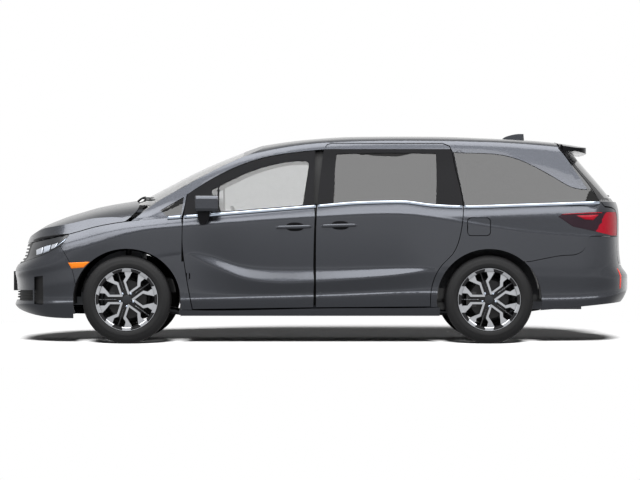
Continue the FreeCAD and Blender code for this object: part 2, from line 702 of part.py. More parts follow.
# Floor, firewall and wheelhouses
FIREWALL_X = -1148.0
TUB_HALF = FLOOR_HALF_WIDTH + 40
HOUSE_RADIUS = 432.0
HOUSE_INNER = 702.0
floor_base = FLOOR_TOP - FLOOR_PLATE
FLOOR_END = 2420.0
floor = box(px(FIREWALL_X), px(FLOOR_END), -TUB_HALF, TUB_HALF, floor_base, FLOOR_TOP)
floor_corner = box(px(FLOOR_END - 56), px(FLOOR_END) + 1, -TUB_HALF - 1, py(-780), 0, FLOOR_TOP + 1)
floor = floor.cut(fuse(both(floor_corner)))
firewall = box(px(FIREWALL_X), px(FIREWALL_X) + 20, -TUB_HALF, TUB_HALF, floor_base, pz(860))
firewall = firewall.fuse(box(px(FIREWALL_X), px(FIREWALL_X) + 20, py(-740), py(740), pz(850), pz(1079.7)))
house_centre = TYRE_RADIUS + 30
rear_house = Part.makeCylinder(HOUSE_RADIUS, 210, V(REAR_AXLE, -900, house_centre), V(0, 1, 0))
rear_hollow = Part.makeCylinder(HOUSE_RADIUS - 12, 900 - HOUSE_INNER, V(REAR_AXLE, -900, house_centre),
                                V(0, 1, 0))
well = box(REAR_AXLE - 440, REAR_AXLE + 440, -960, -HOUSE_INNER, 0, FLOOR_TOP)
house = rear_house.cut(rear_hollow).common(box(-FAR, FAR, -930, 0, floor_base, FAR))
floor = floor.cut(fuse(both(well.common(rear_hollow.fuse(box(-FAR, FAR, -960, -HOUSE_INNER, 0, 380))))))
floor = floor.cut(fuse(both(rear_hollow)))
cowl_box = drawn_box(-1580, FIREWALL_X + 10, -740, 740, 1045, 1079.7)
rails = [box(px(FIREWALL_X), px(850), y - 40, y + 40, floor_base - 80, floor_base) for y in (-520, 520)]
rails += [box(px(850), px(2400), y - 40, y + 40, floor_base - 28, floor_base) for y in (-520, 520)]
rear_sill = box(px(2380), px(2480), -620, 620, floor_base, pz(640))
BONNET_AXIS = (-1420.0, 1100.0)
bonnet_pins = [Part.makeCylinder(6, 44, V(px(BONNET_AXIS[0]), py(-774), pz(BONNET_AXIS[1])), V(0, 1, 0)),
               box(px(BONNET_AXIS[0]) - 14, px(BONNET_AXIS[0]) + 14, py(-742), py(-728), pz(1070),
                   pz(BONNET_AXIS[1]) + 12)]
bonnet_pins += [mirrored(piece) for piece in bonnet_pins]
floor_pan = fuse([floor, firewall, cowl_box, rear_sill] + rails + both(house) + bonnet_pins)
save("floor_pan", floor_pan)

# Outer body to the rear of the front doors, and the posts behind the doors
lower_full = body.lower_wall(0, POST_DEPTH)
inner_lower = body.lower_wall(DOOR_DEPTH + DOOR_CLEARANCE, POST_DEPTH)
inner_upper = body.upper_wall(FRAME_DEPTH + FRAME_CLEARANCE, PILLAR_DEPTH)
waist = body.upper_wall(DOOR_DEPTH + 4, POST_DEPTH - 14)
upper_all = body.upper_wall(0, PILLAR_DEPTH)
quarter_lower = body.lower_wall(0, QUARTER_WALL)
tail_shell = body.shell(0, QUARTER_WALL)

sill = lower_full.common(side_prism(outline([(-1150, 230), (-1150, 279)],
                                            [(-1150, 279), (-1052, 276), (-33, 291), (919, 298), (990, 300)],
                                            [(990, 300), (990, 230)])))
# Openings through the inner posts
FRONT_DOORWAY = [(-1040, 1010), (-1048, 700), (-985, 420), (-960, 345), (-560, 338), (-130, 345),
                 (-112, 700),
                 (-104, 1120), (-90, 1400), (-72, 1530), (-210, 1545), (-541, 1470), (-800, 1352),
                 (-960, 1240)]
SLIDER_DOORWAY = [(72, 360), (90, 1120), (118, 1400), (150, 1590), (300, 1612), (960, 1612), (1030, 1520),
                  (1080, 1300), (1104, 1100), (1086, 860), (1030, 740), (940, 620), (880, 520), (856, 360)]
post_region = side_prism(outline([(-1150, 250), (-1150, 1180)], [(-1150, 1180), (-900, 1560), (-100, 1760)],
                                 [(-100, 1760), (1240, 1760)], [(1240, 1760), (1240, 700)],
                                 [(1240, 700), (1000, 380)], [(1000, 380), (1000, 250)],
                                 [(1000, 250), (-1150, 250)]))
doorway = side_prism(polygon(FRONT_DOORWAY))
slider_way = side_prism(polygon(SLIDER_DOORWAY))
low_band = side_prism(under(BELT, -1800, 2560, -10))
high_band = side_prism(over(BELT, -1700, 2560, -40))
above_doors = side_prism(over(BELT, -1700, 2560, 20))
waist_band = side_prism(under(BELT, -1700, 2560, 70)).common(side_prism(over(BELT, -1700, 2560, -50)))
posts = fuse([inner_lower.common(low_band), inner_upper.common(above_doors), waist.common(waist_band)])
rear_drum = Part.makeCylinder(HOUSE_RADIUS, 400, V(REAR_AXLE, -1000, house_centre), V(0, 1, 0))
posts = posts.common(post_region).cut(doorway).cut(slider_way).cut(roof_plan).cut(REAR_ARCH).cut(quarter_hole)
posts = posts.cut(rear_drum)
posts = fuse([posts] + [hinge_leaf(z) for z in HINGE_HEIGHTS])

# Cant rail over the doors and the pillar beside the windscreen
rail_top = whole_side(outline(along(BELT, -1560, -1146, 2), [(-1146, BELT(-1146) + 2), (-1131, 1108),
                                                             (-1107, 1240)],
                              [(-1107, 1240), SEAM_A_TOP[0]], SEAM_A_TOP, [(33, 1614), (57, 1657)],
                              [(57, 1657), (95, 1668)], [(95, 1668), (1022, 1668)],
                              [(1022, 1668), (1080, 1645)],
                              [(1080, 1645), (1110, 1588)], [(1110, 1588), (1200, 1588)],
                              [(1200, 1588), (1200, 2000)],
                              [(1200, 2000), (-1560, 2000)], [(-1560, 2000), (-1560, BELT(-1560) + 2)]))
cant = upper_all.common(rail_top).common(body.screen(0)).cut(roof_plan)
cant = cant.cut(triangle_hole).cut(quarter_hole)

# Quarter panel with its window
quarter_zone = whole_side(outline(seam(SEAM_C, 0, 0), [(919, 305), (990, 305)], [(990, 305), (990, 230)],
                                  [(990, 230), (1600, 230)], [(1600, 230), (1600, 682)], REAR_BUMPER_TOP_GAP,
                                  [REAR_BUMPER_TOP_GAP[-1], (2700, 893)],
                                  [(2700, 893), (2700, 2000)], [(2700, 2000), (1107, 2000)],
                                  [(1107, 2000), (1107, 1588)]))
quarter = quarter_lower.common(side_prism(outline([(800, 0), (2200, 0)], [(2200, 0), (2200, 1500)],
                                                  [(2200, 1500), (800, 1500)], [(800, 1500), (800, 0)])))
quarter = quarter.common(side_prism(under(BELT, 800, 2560, 6)))
corner_part = tail_shell.common(box(2180, 3000, -FAR, 0, 0, FAR)).common(whole_side(under(BELT, 800, 2700,
                                                                                          6)))
quarter_high = body.upper_wall(0, QUARTER_WALL).common(high_band).cut(roof_plan)
roof_plan_rear = roof_plan.common(box(-FAR, px(1990), -FAR, FAR, 0, FAR))
pillar_back = body.under_roof.common(body.rear(0)).cut(body.rear(-QUARTER_WALL)).cut(roof_plan_rear)
pillar_back = pillar_back.common(box(1700, 3000, -FAR, 0, 0, FAR)).common(side_prism(over(BELT, 1700,
                                                                                          2700, -20)))
quarter = fuse([quarter, corner_part, quarter_high.common(body.rear(0)), pillar_back]).common(quarter_zone)
quarter = quarter.cut(GATE_BEHIND.common(GATE_FRONT)).cut(REAR_ARCH).cut(quarter_hole).cut(whole_side(polygon(TAIL_LAMP)))
fuel_hole = side_prism(rounded(FUEL_DOOR, 34, 0))

# The fuel door hangs on a gooseneck, whose pin lies behind the panel's edge
FUEL_AXIS = (1190.0, -968.0)
FUEL_PIN = 3.0
fuel_level = (FUEL_DOOR[2] + FUEL_DOOR[3]) / 2
fuel_foot = spot(FUEL_AXIS[0], FUEL_AXIS[1], fuel_level)
fuel_pocket = box(fuel_foot.x - 9, px(FUEL_DOOR[0]) + 4, fuel_foot.y - 12, fuel_foot.y + 60,
                  fuel_foot.z - 24,
                  fuel_foot.z + 24)
fuel_pin = Part.makeCylinder(FUEL_PIN, 64, fuel_foot - V(0, 0, 32))
left_quarter = quarter.cut(fuel_hole).cut(fuel_pocket).fuse(fuel_pin)
side_base = fuse([sill, posts, cant]).cut(floor_pan)
left_quarter = left_quarter.cut(floor_pan)
save("body_side_left", side_base, left_quarter)
save("body_side_right", mirrored(side_base), mirrored(quarter.cut(floor_pan)))
neck = bar([fuel_foot + V(1, 5, 0), fuel_foot + V(9, 35, 0), fuel_foot + V(45, 27, 0),
            fuel_foot + V(48, -22, 0)], 4)
eye = Part.makeCylinder(7, 20, fuel_foot - V(0, 0, 10))
bore = Part.makeCylinder(FUEL_PIN + PIN_GAP, 40, fuel_foot - V(0, 0, 20))
fuel_size = (FUEL_DOOR[0] + 2,) + FUEL_DOOR[1:]
fuel_door = body.lower_wall(0, 8).common(side_prism(rounded(fuel_size, 30, 6)))
fuel_door = fuel_door.fuse(neck.fuse(eye).cut(bore))
save("fuel_door", fuel_door)

# Roof
roof = body.upper.extrude(V(0, 0, -ROOF_WALL)).common(roof_plan)
roof_front = whole_side(outline([(GATE_TOP_X - 9, 2000), (GATE_TOP_X - 9, 1000)],
                                [(GATE_TOP_X - 9, 1000), (-640, 1000)],
                                [(-640, 1000), (-640, 2000)], [(-640, 2000), (GATE_TOP_X - 9, 2000)]))
roof = roof.common(body.screen(0)).common(roof_front)
GATE_AXIS = (1990.0, 1676.0)
GATE_PIN = 3.5
gate_spot = V(px(GATE_AXIS[0]), 0, pz(GATE_AXIS[1]))


def gate_eye(y, length, toward):
    """One eye of the tailgate's hinges, with a lug that reaches forward or back."""
    foot = gate_spot + V(0, y, 0)
    eye = Part.makeCylinder(2 * GATE_PIN, length, foot, V(0, 1, 0))
    lug = box(min(foot.x, foot.x + toward), max(foot.x, foot.x + toward), foot.y, foot.y + length,
              foot.z - 6, foot.z)
    return eye.fuse(lug)


gate_pins = [Part.makeCylinder(GATE_PIN, 58, gate_spot + V(0, y, 0), V(0, 1, 0)) for y in (-282, 224)]
roof = fuse([roof] + gate_pins + [gate_eye(-282, 18, -24), gate_eye(264, 18, -24)])
save("roof_panel", roof)

# Tailgate
gate_zone = whole_side(gate_region(9, 657))
gate_front = front_prism(outline([(632, 656), (682, 900), (707, 1096), (755, 1120), (1100, 1120)],
                                 [(1100, 1120), (1100, 2000)], [(1100, 2000), (-1100, 2000)],
                                 [(-1100, 2000), (-1100, 1120)],
                                 [(-1100, 1120), (-755, 1120), (-707, 1096), (-682, 900), (-632, 656)],
                                 [(-632, 656), (632, 656)]), 1700, 3000)
gate_low = body.shell(0, TAILGATE_WALL).common(whole_side(under(BELT, 1900, 2700, 10)))
tail_full = body.upper.extrude(V(0, 0, -900)).common(body.rear(0))
tail_core = upper_surface(40, ROOF_WALL).toShape().extrude(V(0, 0, -900)).common(body.rear(-70))
gate_high = tail_full.cut(tail_core).common(whole_side(over(BELT, 1900, 2700, -25)))
gate = gate_low.fuse(gate_high).common(gate_zone).common(gate_front)
gate_window = front_prism(outline([(610, 1210), (640, 1360), (628, 1500), (560, 1560), (300, 1582),
                                   (-300, 1582),
                                   (-560, 1560), (-628, 1500), (-640, 1360), (-610, 1210)],
                                   [(-610, 1210), (610, 1210)]),
                          1900, 3000)
SPOILER_PLAN = [[(2030, -640), (2110, -640)], [(2110, -640), (2190, -600), (2228, -520), (2245, -300),
                                               (2250, 0),
                                                 (2245, 300), (2228, 520), (2190, 600), (2110, 640)],
                [(2110, 640), (2030, 640)], [(2030, 640), (2030, -640)]]
spoiler_plan = Part.Face(wire(SPOILER_PLAN, lambda p: V(px(p[0]), py(p[1]), 500))).extrude(V(0, 0, 2000))
spoiler_under = whole_side(polygon([(1990, 1602), (2140, 1602), (2214, 1587), (2300, 1566), (2300, 1900),
                                    (1990, 1900)]))
spoiler = body.upper.extrude(V(0, 0, -140)).common(spoiler_plan).common(spoiler_under)
eye_bore = Part.makeCylinder(GATE_PIN + PIN_GAP, 1400, gate_spot + V(0, -700, 0), V(0, 1, 0))
gate_eyes = [gate_eye(-263.7, 38, 40), gate_eye(225.7, 38, 40)]
gate = gate.cut(gate_window).fuse(spoiler)
gate = fuse([gate] + gate_eyes).cut(eye_bore)
plate_y = 89.0
PLATE_HOLE = 3.0
PLATE_HEIGHT = 860.0
gate_holes = [Part.makeCylinder(PLATE_HOLE, 200, V(px(2440), y, pz(PLATE_HEIGHT)), V(1, 0, 0))
              for y in (-plate_y, plate_y)]
plate_recess = box(px(2519), FAR, -185, 185, pz(PLATE_HEIGHT) - 85, pz(PLATE_HEIGHT) + 65)
gate = gate.cut(plate_recess).cut(fuse(gate_holes))
save("tailgate", gate)
gate_glass = body.rear(-6).cut(body.rear(-13)).common(gate_window)
save("tailgate_glass", gate_glass)

# Bonnet
nose_block = body.tube.common(body.below_bonnet)
bonnet_zone = whole_side(over(BELT, -2620, -1462, 7))
inner_tube = tube(skin_surface(26, 20))
inner_block = inner_tube.common(bonnet_surface(26, 0).extrude(V(0, 0, -1500)))
behind_bonnet = body.screen(-52)
bonnet = nose_block.common(bonnet_zone).cut(inner_block).cut(behind_bonnet)
bonnet_spot = V(px(BONNET_AXIS[0]), 0, pz(BONNET_AXIS[1]))
bonnet_arms = []
for y in (py(-764), py(764) - 10):
    arm = box(bonnet_spot.x - 180, bonnet_spot.x + 12, y, y + 10, bonnet_spot.z - 12, bonnet_spot.z + 12)
    crook = box(bonnet_spot.x - 180, bonnet_spot.x - 124, y, y + 10, bonnet_spot.z, FAR)
    arm = arm.fuse(crook.common(body.below_bonnet))
    bonnet_arms.append(arm.cut(Part.makeCylinder(6 + PIN_GAP, 30, bonnet_spot + V(0, y - 10, 0),
                                                 V(0, 1, 0))))
bonnet = fuse([bonnet] + bonnet_arms)
save("bonnet", bonnet)

# Front wings
wing_shell = body.shell(0, SKIN_WALL)
wing_zone = whole_side(outline(along(BELT, -2081, -1462, 0), along(BELT, -1462, -1240, 0) + [(-1140, 1050)],
                               [(-1140, 1050)] + seam(SEAM_A, -GAP, -2)[2:], [(-1059, 281), (-1150.3, 281)],
                               [(-1150.3, 281), (-1150.3, 225)], [(-1150.3, 225), (-2010, 225)],
                               [(-2010, 225), (-2010, 380)],
                               [(-2010 + 4, 380)] + shifted(BUMPER_BACK[::-1], 4)[1:],
                               [(-2149, 803), (-2081, 899)]))
wings = wing_shell.common(wing_zone).cut(FRONT_ARCH)
DOOR_EDGE_REACH = 50.0
swing_room = Part.makeCylinder(DOOR_EDGE_REACH + 5, 400, spot(DOOR_AXIS[0], DOOR_AXIS[1], 680))
wings = wings.cut(fuse(both(swing_room)))
save("front_wings", wings)

# Front bumper, grille and lamps
BRACKET_HEIGHT = (430.0, 593.0)
BRACKET_SCREWS = 89.0
bracket_middle = pz((BRACKET_HEIGHT[0] + BRACKET_HEIGHT[1]) / 2)
bumper_shell = body.shell(0, BUMPER_WALL)
bumper_zone = whole_side(outline([(-2760, 100), (-2760, 636)], BUMPER_TOP, BUMPER_BACK,
                                 [(-2010, 380), (-2010, 100)],
                                 [(-2010, 100), (-2760, 100)]))
front_bumper = bumper_shell.common(bumper_zone).cut(FRONT_ARCH).cut(UNDER_CUT)
intake = whole_side(polygon([(-2700, 352), (-2310, 352), (-2310, 440), (-2700, 440)])).common(
    box(-FAR, FAR, py(-790), py(790), 0, FAR))
side_slots = whole_side(polygon([(-2376, 552), (-2300, 562), (-2296, 330), (-2306, 320), (-2376, 326)]))
side_slots = side_slots.cut(box(-FAR, FAR, py(-640), py(640), 0, FAR))
screw_rooms = [box(-LENGTH / 2, -LENGTH / 2 + 36, y - 7, y + 7, bracket_middle - 7, bracket_middle + 7)
               for y in (-BRACKET_SCREWS, BRACKET_SCREWS)]
front_bumper = front_bumper.cut(intake).cut(side_slots).cut(fuse(screw_rooms))
save("front_bumper", front_bumper)
insert_zone = whole_side(polygon([(-2700, 330), (-2286, 310), (-2286, 572), (-2388, 566), (-2388, 462),
                                  (-2700, 462)]))
mask_front = body.shell(6, 60)
mask_inner = body.shell(BUMPER_WALL + 0.3, 66)
inserts = mask_inner.common(insert_zone)
slat_zone = [whole_side(polygon([(-2700, z), (-2316, z), (-2316, z + 8), (-2700, z + 8)]))
             for z in (374, 396, 418)]
slats = mask_front.common(fuse(slat_zone)).common(box(-FAR, FAR, py(-780), py(780), 0, FAR))
save("bumper_inserts", inserts.fuse(slats))

# The blank plate's bracket on the front bumper
bracket = box(-LENGTH / 2, -LENGTH / 2 + 60, -155, 155, pz(BRACKET_HEIGHT[0]),
              pz(BRACKET_HEIGHT[1])).cut(body.tube)
for y in (-BRACKET_SCREWS, BRACKET_SCREWS):
    bracket = bracket.cut(Part.makeCylinder(PLATE_HOLE, 200, V(-LENGTH / 2 - 50, y, bracket_middle),
                                            V(1, 0, 0)))
save("plate_bracket", bracket)
BUMPER_TOP_GAP = shifted(BUMPER_TOP, 0, 3)
mask_zone = whole_side(outline(BUMPER_TOP_GAP, [BUMPER_TOP_GAP[-1], (-2085, 899)],
                               along(BELT, -2085, -2620, 0), [(-2620, 800), (-2760, 800)],
                               [(-2760, 800), BUMPER_TOP_GAP[0]]))
mask_back = whole_side(outline(shifted(BUMPER_TOP, 0, -22), [(-2153, 781), (-2060, 781)],
                               [(-2060, 781), (-2060, 880)],
                               [(-2060, 880), (-2085, 880)], along(BELT, -2085, -2620, -12),
                               [(-2620, 790), (-2760, 790)],
                               [(-2760, 790), (-2760, 614)]))
mask = mask_front.common(mask_zone).fuse(mask_inner.common(mask_back))
between_lamps = box(-3000, -2000, -592, 592, 0, 2000)
grille = mask.common(between_lamps)
lamps = mask.cut(box(-3000, -2000, -596, 596, 0, 2000))
bar_count = 5
slots = []
for i in range(bar_count):
    z = 676 + 28 * i
    slots.append(box(-3000, -2000, -540, 540, z, z + 15))
grille = grille.cut(fuse(slots))
save("grille", grille)
save("headlamps", lamps)

# Windscreen and the cowl before it
screen = body.screen(0).cut(body.screen(GLASS * 1.6)).common(roof_plan)
screen_zone = whole_side(outline([(-1800, 1160), (-1400, 1148), (-900, 1148)], [(-900, 1148), (-600, 1620)],
                                 [(-600, 1620), (-660, 1640)], [(-660, 1640), (-1800, 1640)],
                                 [(-1800, 1640), (-1800, 1160)]))
screen = screen.common(body.under_roof).common(screen_zone).cut(roof)
save("windshield", screen)
cowl = body.screen(-46).cut(body.screen(-2)).common(box(-1900, -1000, -744, 744, 1080, 1140))
save("cowl", cowl)

# Rear bumper and tail lamps
gate_gap = GATE_FRONT.common(GATE_BEHIND)
rear_shell = body.shell(0, BUMPER_WALL)
rear_zone = whole_side(outline(REAR_BUMPER_TOP, [REAR_BUMPER_TOP[-1], (2700, 886)],
                               [(2700, 886), (2700, 100)],
                               [(2700, 100), (1600, 100)], [(1600, 100), (1600, 674)]))
rear_bumper = rear_shell.common(rear_zone).cut(gate_gap).cut(REAR_ARCH).cut(UNDER_CUT)
save("rear_bumper", rear_bumper)
lamp_shell = body.shell(2, 48)
tail_lamps = lamp_shell.common(whole_side(polygon([(x + 3, z) for x, z in TAIL_LAMP]))).cut(gate_gap)
save("tail_lamps", tail_lamps)

# Front frame under the bonnet, and the wheelhouses with the struts in their towers
STEER_Y = HALF_TRACK - STEER_AXIS_INSET
LINER = 6.0
house_r = ARCH_HALF_LENGTH - 6.3
liner = Part.makeCylinder(house_r + LINER, 400, V(FRONT_AXLE, -930, TYRE_RADIUS), V(0, 1, 0))
wheel_room = Part.makeCylinder(house_r, 430, V(FRONT_AXLE, -931, TYRE_RADIUS), V(0, 1, 0))
front_house = liner.cut(wheel_room).common(box(-FAR, FAR, -930, -530, pz(330), FAR)).common(inner_tube)
tower = box(FRONT_AXLE - 120, FRONT_AXLE + 120, -700, -520, pz(530), pz(960)).cut(wheel_room)
tower = tower.cut(box(FRONT_AXLE - 90, FRONT_AXLE + 90, -670, -520, 0, pz(940)))
strut = bar([V(FRONT_AXLE, -668, TYRE_RADIUS + 120), V(FRONT_AXLE, -610, pz(950))], 26)
upper_link = box(FRONT_AXLE - 22, FRONT_AXLE + 22, -(STEER_Y + 20), -650, TYRE_RADIUS + 126,
                 TYRE_RADIUS + 144)
upper_stud = Part.makeCylinder(12, 40, V(FRONT_AXLE, -STEER_Y, TYRE_RADIUS + 92))
save("front_wheelhouses", *both(fuse([front_house, tower, strut, upper_link, upper_stud])))
front_rail = box(px(-2420), px(FIREWALL_X) - 0.3, -520, -440, pz(420), pz(530))
bumper_beam = drawn_box(-2470, -2420, -540, 540, 430, 560)
cross = box(FRONT_AXLE - 200, FRONT_AXLE + 200, -520, 520, 250, 300)
legs = [box(x, x + 60, y - 40, y + 40, 250, pz(420)) for x in (FRONT_AXLE - 200, FRONT_AXLE + 140)
        for y in (-480, 480)]
radiator = drawn_box(-2360, -2300, -480, 480, 330, 780)
lower_arm = box(FRONT_AXLE - 40, FRONT_AXLE + 40, -(STEER_Y + 20), -440, 252, 270)
lower_arm = lower_arm.cut(box(FRONT_AXLE - 60, FRONT_AXLE + 60, -519, -440, 0, 249))
lower_stud = Part.makeCylinder(12, 40, V(FRONT_AXLE, -STEER_Y, 262))
front_frame = fuse([bumper_beam, cross, radiator] + legs + both(front_rail) + both(lower_arm) + both(lower_stud))
save("front_frame", front_frame)
save("engine_block", drawn_box(-2250, -1500, -439.7, 330, 312, 900).fuse(drawn_box(-2180, -1600, -420,
                                                                                   300, 900, 985)))

# Brake calipers, half round each disc on its forward side
CALIPER_REACH = 188.0
DISC_FACE = HALF_TRACK + 28.0


def caliper(x, inner):
    """A caliper that grips the disc from ahead, with a bracket inwards."""
    block = Part.makeCylinder(CALIPER_REACH, 60, V(x, -(DISC_FACE + 10), TYRE_RADIUS), V(0, 1, 0))
    block = block.common(box(x - CALIPER_REACH, x - 104, -FAR, 0, TYRE_RADIUS - 62, TYRE_RADIUS + 62))
    slot = Part.makeCylinder(DISC_RADIUS + 6, DISC_THICKNESS + 6, V(x, -(DISC_FACE + 3), TYRE_RADIUS),
                             V(0, 1, 0))
    bracket = box(x - 150, x - 30, -(DISC_FACE - 44), -inner, TYRE_RADIUS - 38, TYRE_RADIUS + 38)
    return block.cut(slot).fuse(bracket)


# Rear axle
beam_top = TYRE_RADIUS - 30
rear_beam = box(REAR_AXLE - 45, REAR_AXLE + 45, -705, 705, beam_top - 65, beam_top)
arms = [box(REAR_AXLE - 520, REAR_AXLE, y - 30, y + 30, beam_top - 60, beam_top) for y in (-600, 600)]
arm_posts = [box(REAR_AXLE - 520, REAR_AXLE - 440, -640, -566, beam_top - 60, floor_base - 0.3)]
arm_posts += [mirrored(arm_posts[0])]
uprights = [box(REAR_AXLE - 60, REAR_AXLE + 60, -741, -703, TYRE_RADIUS - 110, TYRE_RADIUS + 70)]
uprights += [mirrored(uprights[0])]
stubs = [Part.makeCylinder(30, 140, V(REAR_AXLE, -(HALF_TRACK - 6.3), TYRE_RADIUS), V(0, 1, 0))]
stubs += [mirrored(stubs[0])]
save("rear_axle", fuse([rear_beam] + arms + arm_posts + uprights + stubs + both(caliper(REAR_AXLE, 720.0))))

# Steering knuckles, held between two ball studs, with their stub axles
HUB_BACK = 6.0
upright = box(FRONT_AXLE - 50, FRONT_AXLE + 50, -(STEER_Y + 27), -(STEER_Y - 27), 275, TYRE_RADIUS + 120)
stud_bore = Part.makeCylinder(12 + PIN_GAP, 400, V(FRONT_AXLE, -STEER_Y, 200))
lower_room = box(FRONT_AXLE - 52, FRONT_AXLE + 52, -FAR, 0, 0, 275)
stub = Part.makeCylinder(28, 60, V(FRONT_AXLE, -(HALF_TRACK - HUB_BACK - PIN_GAP), TYRE_RADIUS), V(0, 1, 0))
middle = box(FRONT_AXLE - 50, FRONT_AXLE + 50, -FAR, 0, 304, TYRE_RADIUS + 90)
knuckle = fuse([upright.cut(stud_bore.cut(middle)), stub, caliper(FRONT_AXLE, STEER_Y)]).cut(lower_room)
save("knuckle_left", knuckle)
save("knuckle_right", mirrored(knuckle))


# Wheels
def revolved(points, x, y, sign=1):
    """A closed outline of (radius, offset) pairs, turned about a wheel's axle."""
    spots = [V(x, y + sign * t, TYRE_RADIUS + r) for r, t in points]
    face = Part.Face(Part.makePolygon(spots + [spots[0]]))
    return face.revolve(V(x, y, TYRE_RADIUS), V(0, 1, 0), 360)


TYRE_OUTLINE = [(RIM_RADIUS + 2 + PIN_GAP, -96), (RIM_RADIUS + 5.5, -104.6), (RIM_RADIUS + 18.5, -106.6),
                (RIM_RADIUS + 21, -111), (RIM_RADIUS + 50, -117), (RIM_RADIUS + 82, -116),
                (RIM_RADIUS + 108, -106), (TYRE_RADIUS - 4, -92), (TYRE_RADIUS, -72), (TYRE_RADIUS, 72),
                (TYRE_RADIUS - 4, 92), (RIM_RADIUS + 108, 106), (RIM_RADIUS + 82, 116),
                (RIM_RADIUS + 50, 117),
                (RIM_RADIUS + 21, 111), (RIM_RADIUS + 18.5, 106.6), (RIM_RADIUS + 5.5, 104.6),
                (RIM_RADIUS + 2 + PIN_GAP, 96)]
RIM_OUTLINE = [(RIM_RADIUS + 2, -96), (RIM_RADIUS + 5, -105), (RIM_RADIUS + 18, -107),
               (RIM_RADIUS + 18, -112),
               (RIM_RADIUS - 8, -109), (RIM_RADIUS - 11, -92), (RIM_RADIUS - 15, -40), (RIM_RADIUS - 16, 60),
               (RIM_RADIUS - 8, 109), (RIM_RADIUS + 18, 112), (RIM_RADIUS + 18, 107), (RIM_RADIUS + 5, 105),
               (RIM_RADIUS + 2, 96)]


def tyre(x, y):
    return revolved(TYRE_OUTLINE, x, y)


BLADE = [(36, 39), (138, 39), (161, 68), (206, 118), (250, 118), (250, 53), (179, 50), (155, 22), (36, 22)]
POCKET = [(36, -24), (157, -24), (157, 24), (36, 24)]
BACKING = [(36, 36), (136, 36), (158, 66), (202, 112), (250, 112), (250, 56), (181, 53), (150, 18), (36, 18)]
RIB = [(102, -5), (250, -5), (250, 5), (102, 5)]


def spoke_plate(outline_points, side, x, y, turn, depth, thick):
    """One flat piece of an arm, from (along, across) points, set back from the wheel's face."""
    spots = [V(x + r, y - SPOKE_FACE + depth, TYRE_RADIUS + side * t) for r, t in outline_points]
    plate = Part.Face(Part.makePolygon(spots + [spots[0]])).extrude(V(0, thick, 0))
    plate.rotate(V(x, y, TYRE_RADIUS), V(0, 1, 0), turn)
    return plate


def rim(x, y):
    """A rim with five split arms, a pocket in each arm, its hub and the brake disc that turns with it."""
    barrel = revolved(RIM_OUTLINE, x, y)
    pieces = []
    for i in range(ARMS):
        turn = 180 + i * 360 / ARMS
        for side in (1, -1):
            pieces.append(spoke_plate(BLADE, side, x, y, turn, 0, 14))
            pieces.append(spoke_plate(BACKING, side, x, y, turn, 13, SPOKE_DEPTH - 13))
        pieces.append(spoke_plate(POCKET, 1, x, y, turn, 18, 16))
        pieces.append(spoke_plate(RIB, 1, x, y, turn, 4, 22))
    hub = Part.makeCylinder(HUB_RADIUS, SPOKE_FACE - 12 + HUB_BACK, V(x, y - SPOKE_FACE + 12,
                                                                      TYRE_RADIUS), V(0, 1, 0))
    cap = Part.makeCylinder(36, 30, V(x, y - SPOKE_FACE + 1, TYRE_RADIUS), V(0, 1, 0))
    disc = Part.makeCylinder(DISC_RADIUS, DISC_THICKNESS, V(x, y - DISC_THICKNESS, TYRE_RADIUS), V(0, 1, 0))
    reach = Part.makeCylinder(RIM_RADIUS - 3, 400, V(x, y - 200, TYRE_RADIUS), V(0, 1, 0))
    face = fuse(pieces).common(reach)
    return fuse([barrel, hub, cap, disc, face])


for name, x in (("front", FRONT_AXLE), ("rear", REAR_AXLE)):
    left_tyre = tyre(x, -HALF_TRACK)
    left_rim = rim(x, -HALF_TRACK)
    save("tyre_" + name + "_left", left_tyre)
    save("tyre_" + name + "_right", mirrored(left_tyre))
    save("rim_" + name + "_left", left_rim)
    save("rim_" + name + "_right", mirrored(left_rim))


# Cabin
def seat(x, y, width, depth=520, back=640, base=FLOOR_TOP, head=True):
    """One seat: its base, cushion, leaning back and headrest."""
    x, y = px(x), py(y)
    half = width / 2
    rear = x + depth / 2
    pieces = [box(x - depth / 2 + 60, rear - 40, y - half + 60, y + half - 60, base, base + 200),
              box(x - depth / 2, rear, y - half, y + half, base + 190, base + 330)]
    spots = [V(rear - 90, y - half, base + 300), V(rear + 40, y - half, base + 300),
             V(rear + 190, y - half, base + 300 + back), V(rear + 90, y - half, base + 300 + back)]
    pieces.append(Part.Face(Part.makePolygon(spots + [spots[0]])).extrude(V(0, width, 0)))
    if head:
        pieces.append(box(rear + 100, rear + 190, y - 130, y + 130, base + 290 + back, base + 470 + back))
    return fuse(pieces)


save("front_seats", seat(-330, -400, 520), seat(-330, 400, 520))
save("second_row_seats", seat(620, -470, 500), seat(620, 470, 500))
save("third_row_bench", seat(1480, 0, 1180, back=560, head=False))
DASH_FRONT = px(FIREWALL_X) + 20.3
dash = box(DASH_FRONT, px(-880), py(-760), py(760), pz(760), pz(1010))
dash = dash.fuse(box(DASH_FRONT, px(-1000), py(-720), py(720), pz(1000), pz(1075)))
console = box(px(-1000), px(-650), -130, 130, FLOOR_TOP, pz(780))
WHEEL_SPOT = spot(-655, -400, 981)
COLUMN_WAY = V(math.cos(math.radians(30)), 0, math.sin(math.radians(30)))
column = Part.makeCylinder(32, 260, WHEEL_SPOT - COLUMN_WAY * 285.3, COLUMN_WAY)
save("dashboard", fuse([dash, console, column]))
wheel_ring = Part.makeTorus(175, 15, V(0, 0, 0), V(0, 0, 1))
wheel_hub = Part.makeCylinder(52, 40, V(0, 0, -25), V(0, 0, 1))
wheel_arms = [box(-170, -30, -14, 14, -8, 8), box(30, 170, -14, 14, -8, 8), box(-14, 14, -170, -30, -8, 8)]
steering = fuse([wheel_ring, wheel_hub] + wheel_arms)
steering.rotate(V(0, 0, 0), V(0, 1, 0), 60)
steering.translate(WHEEL_SPOT)
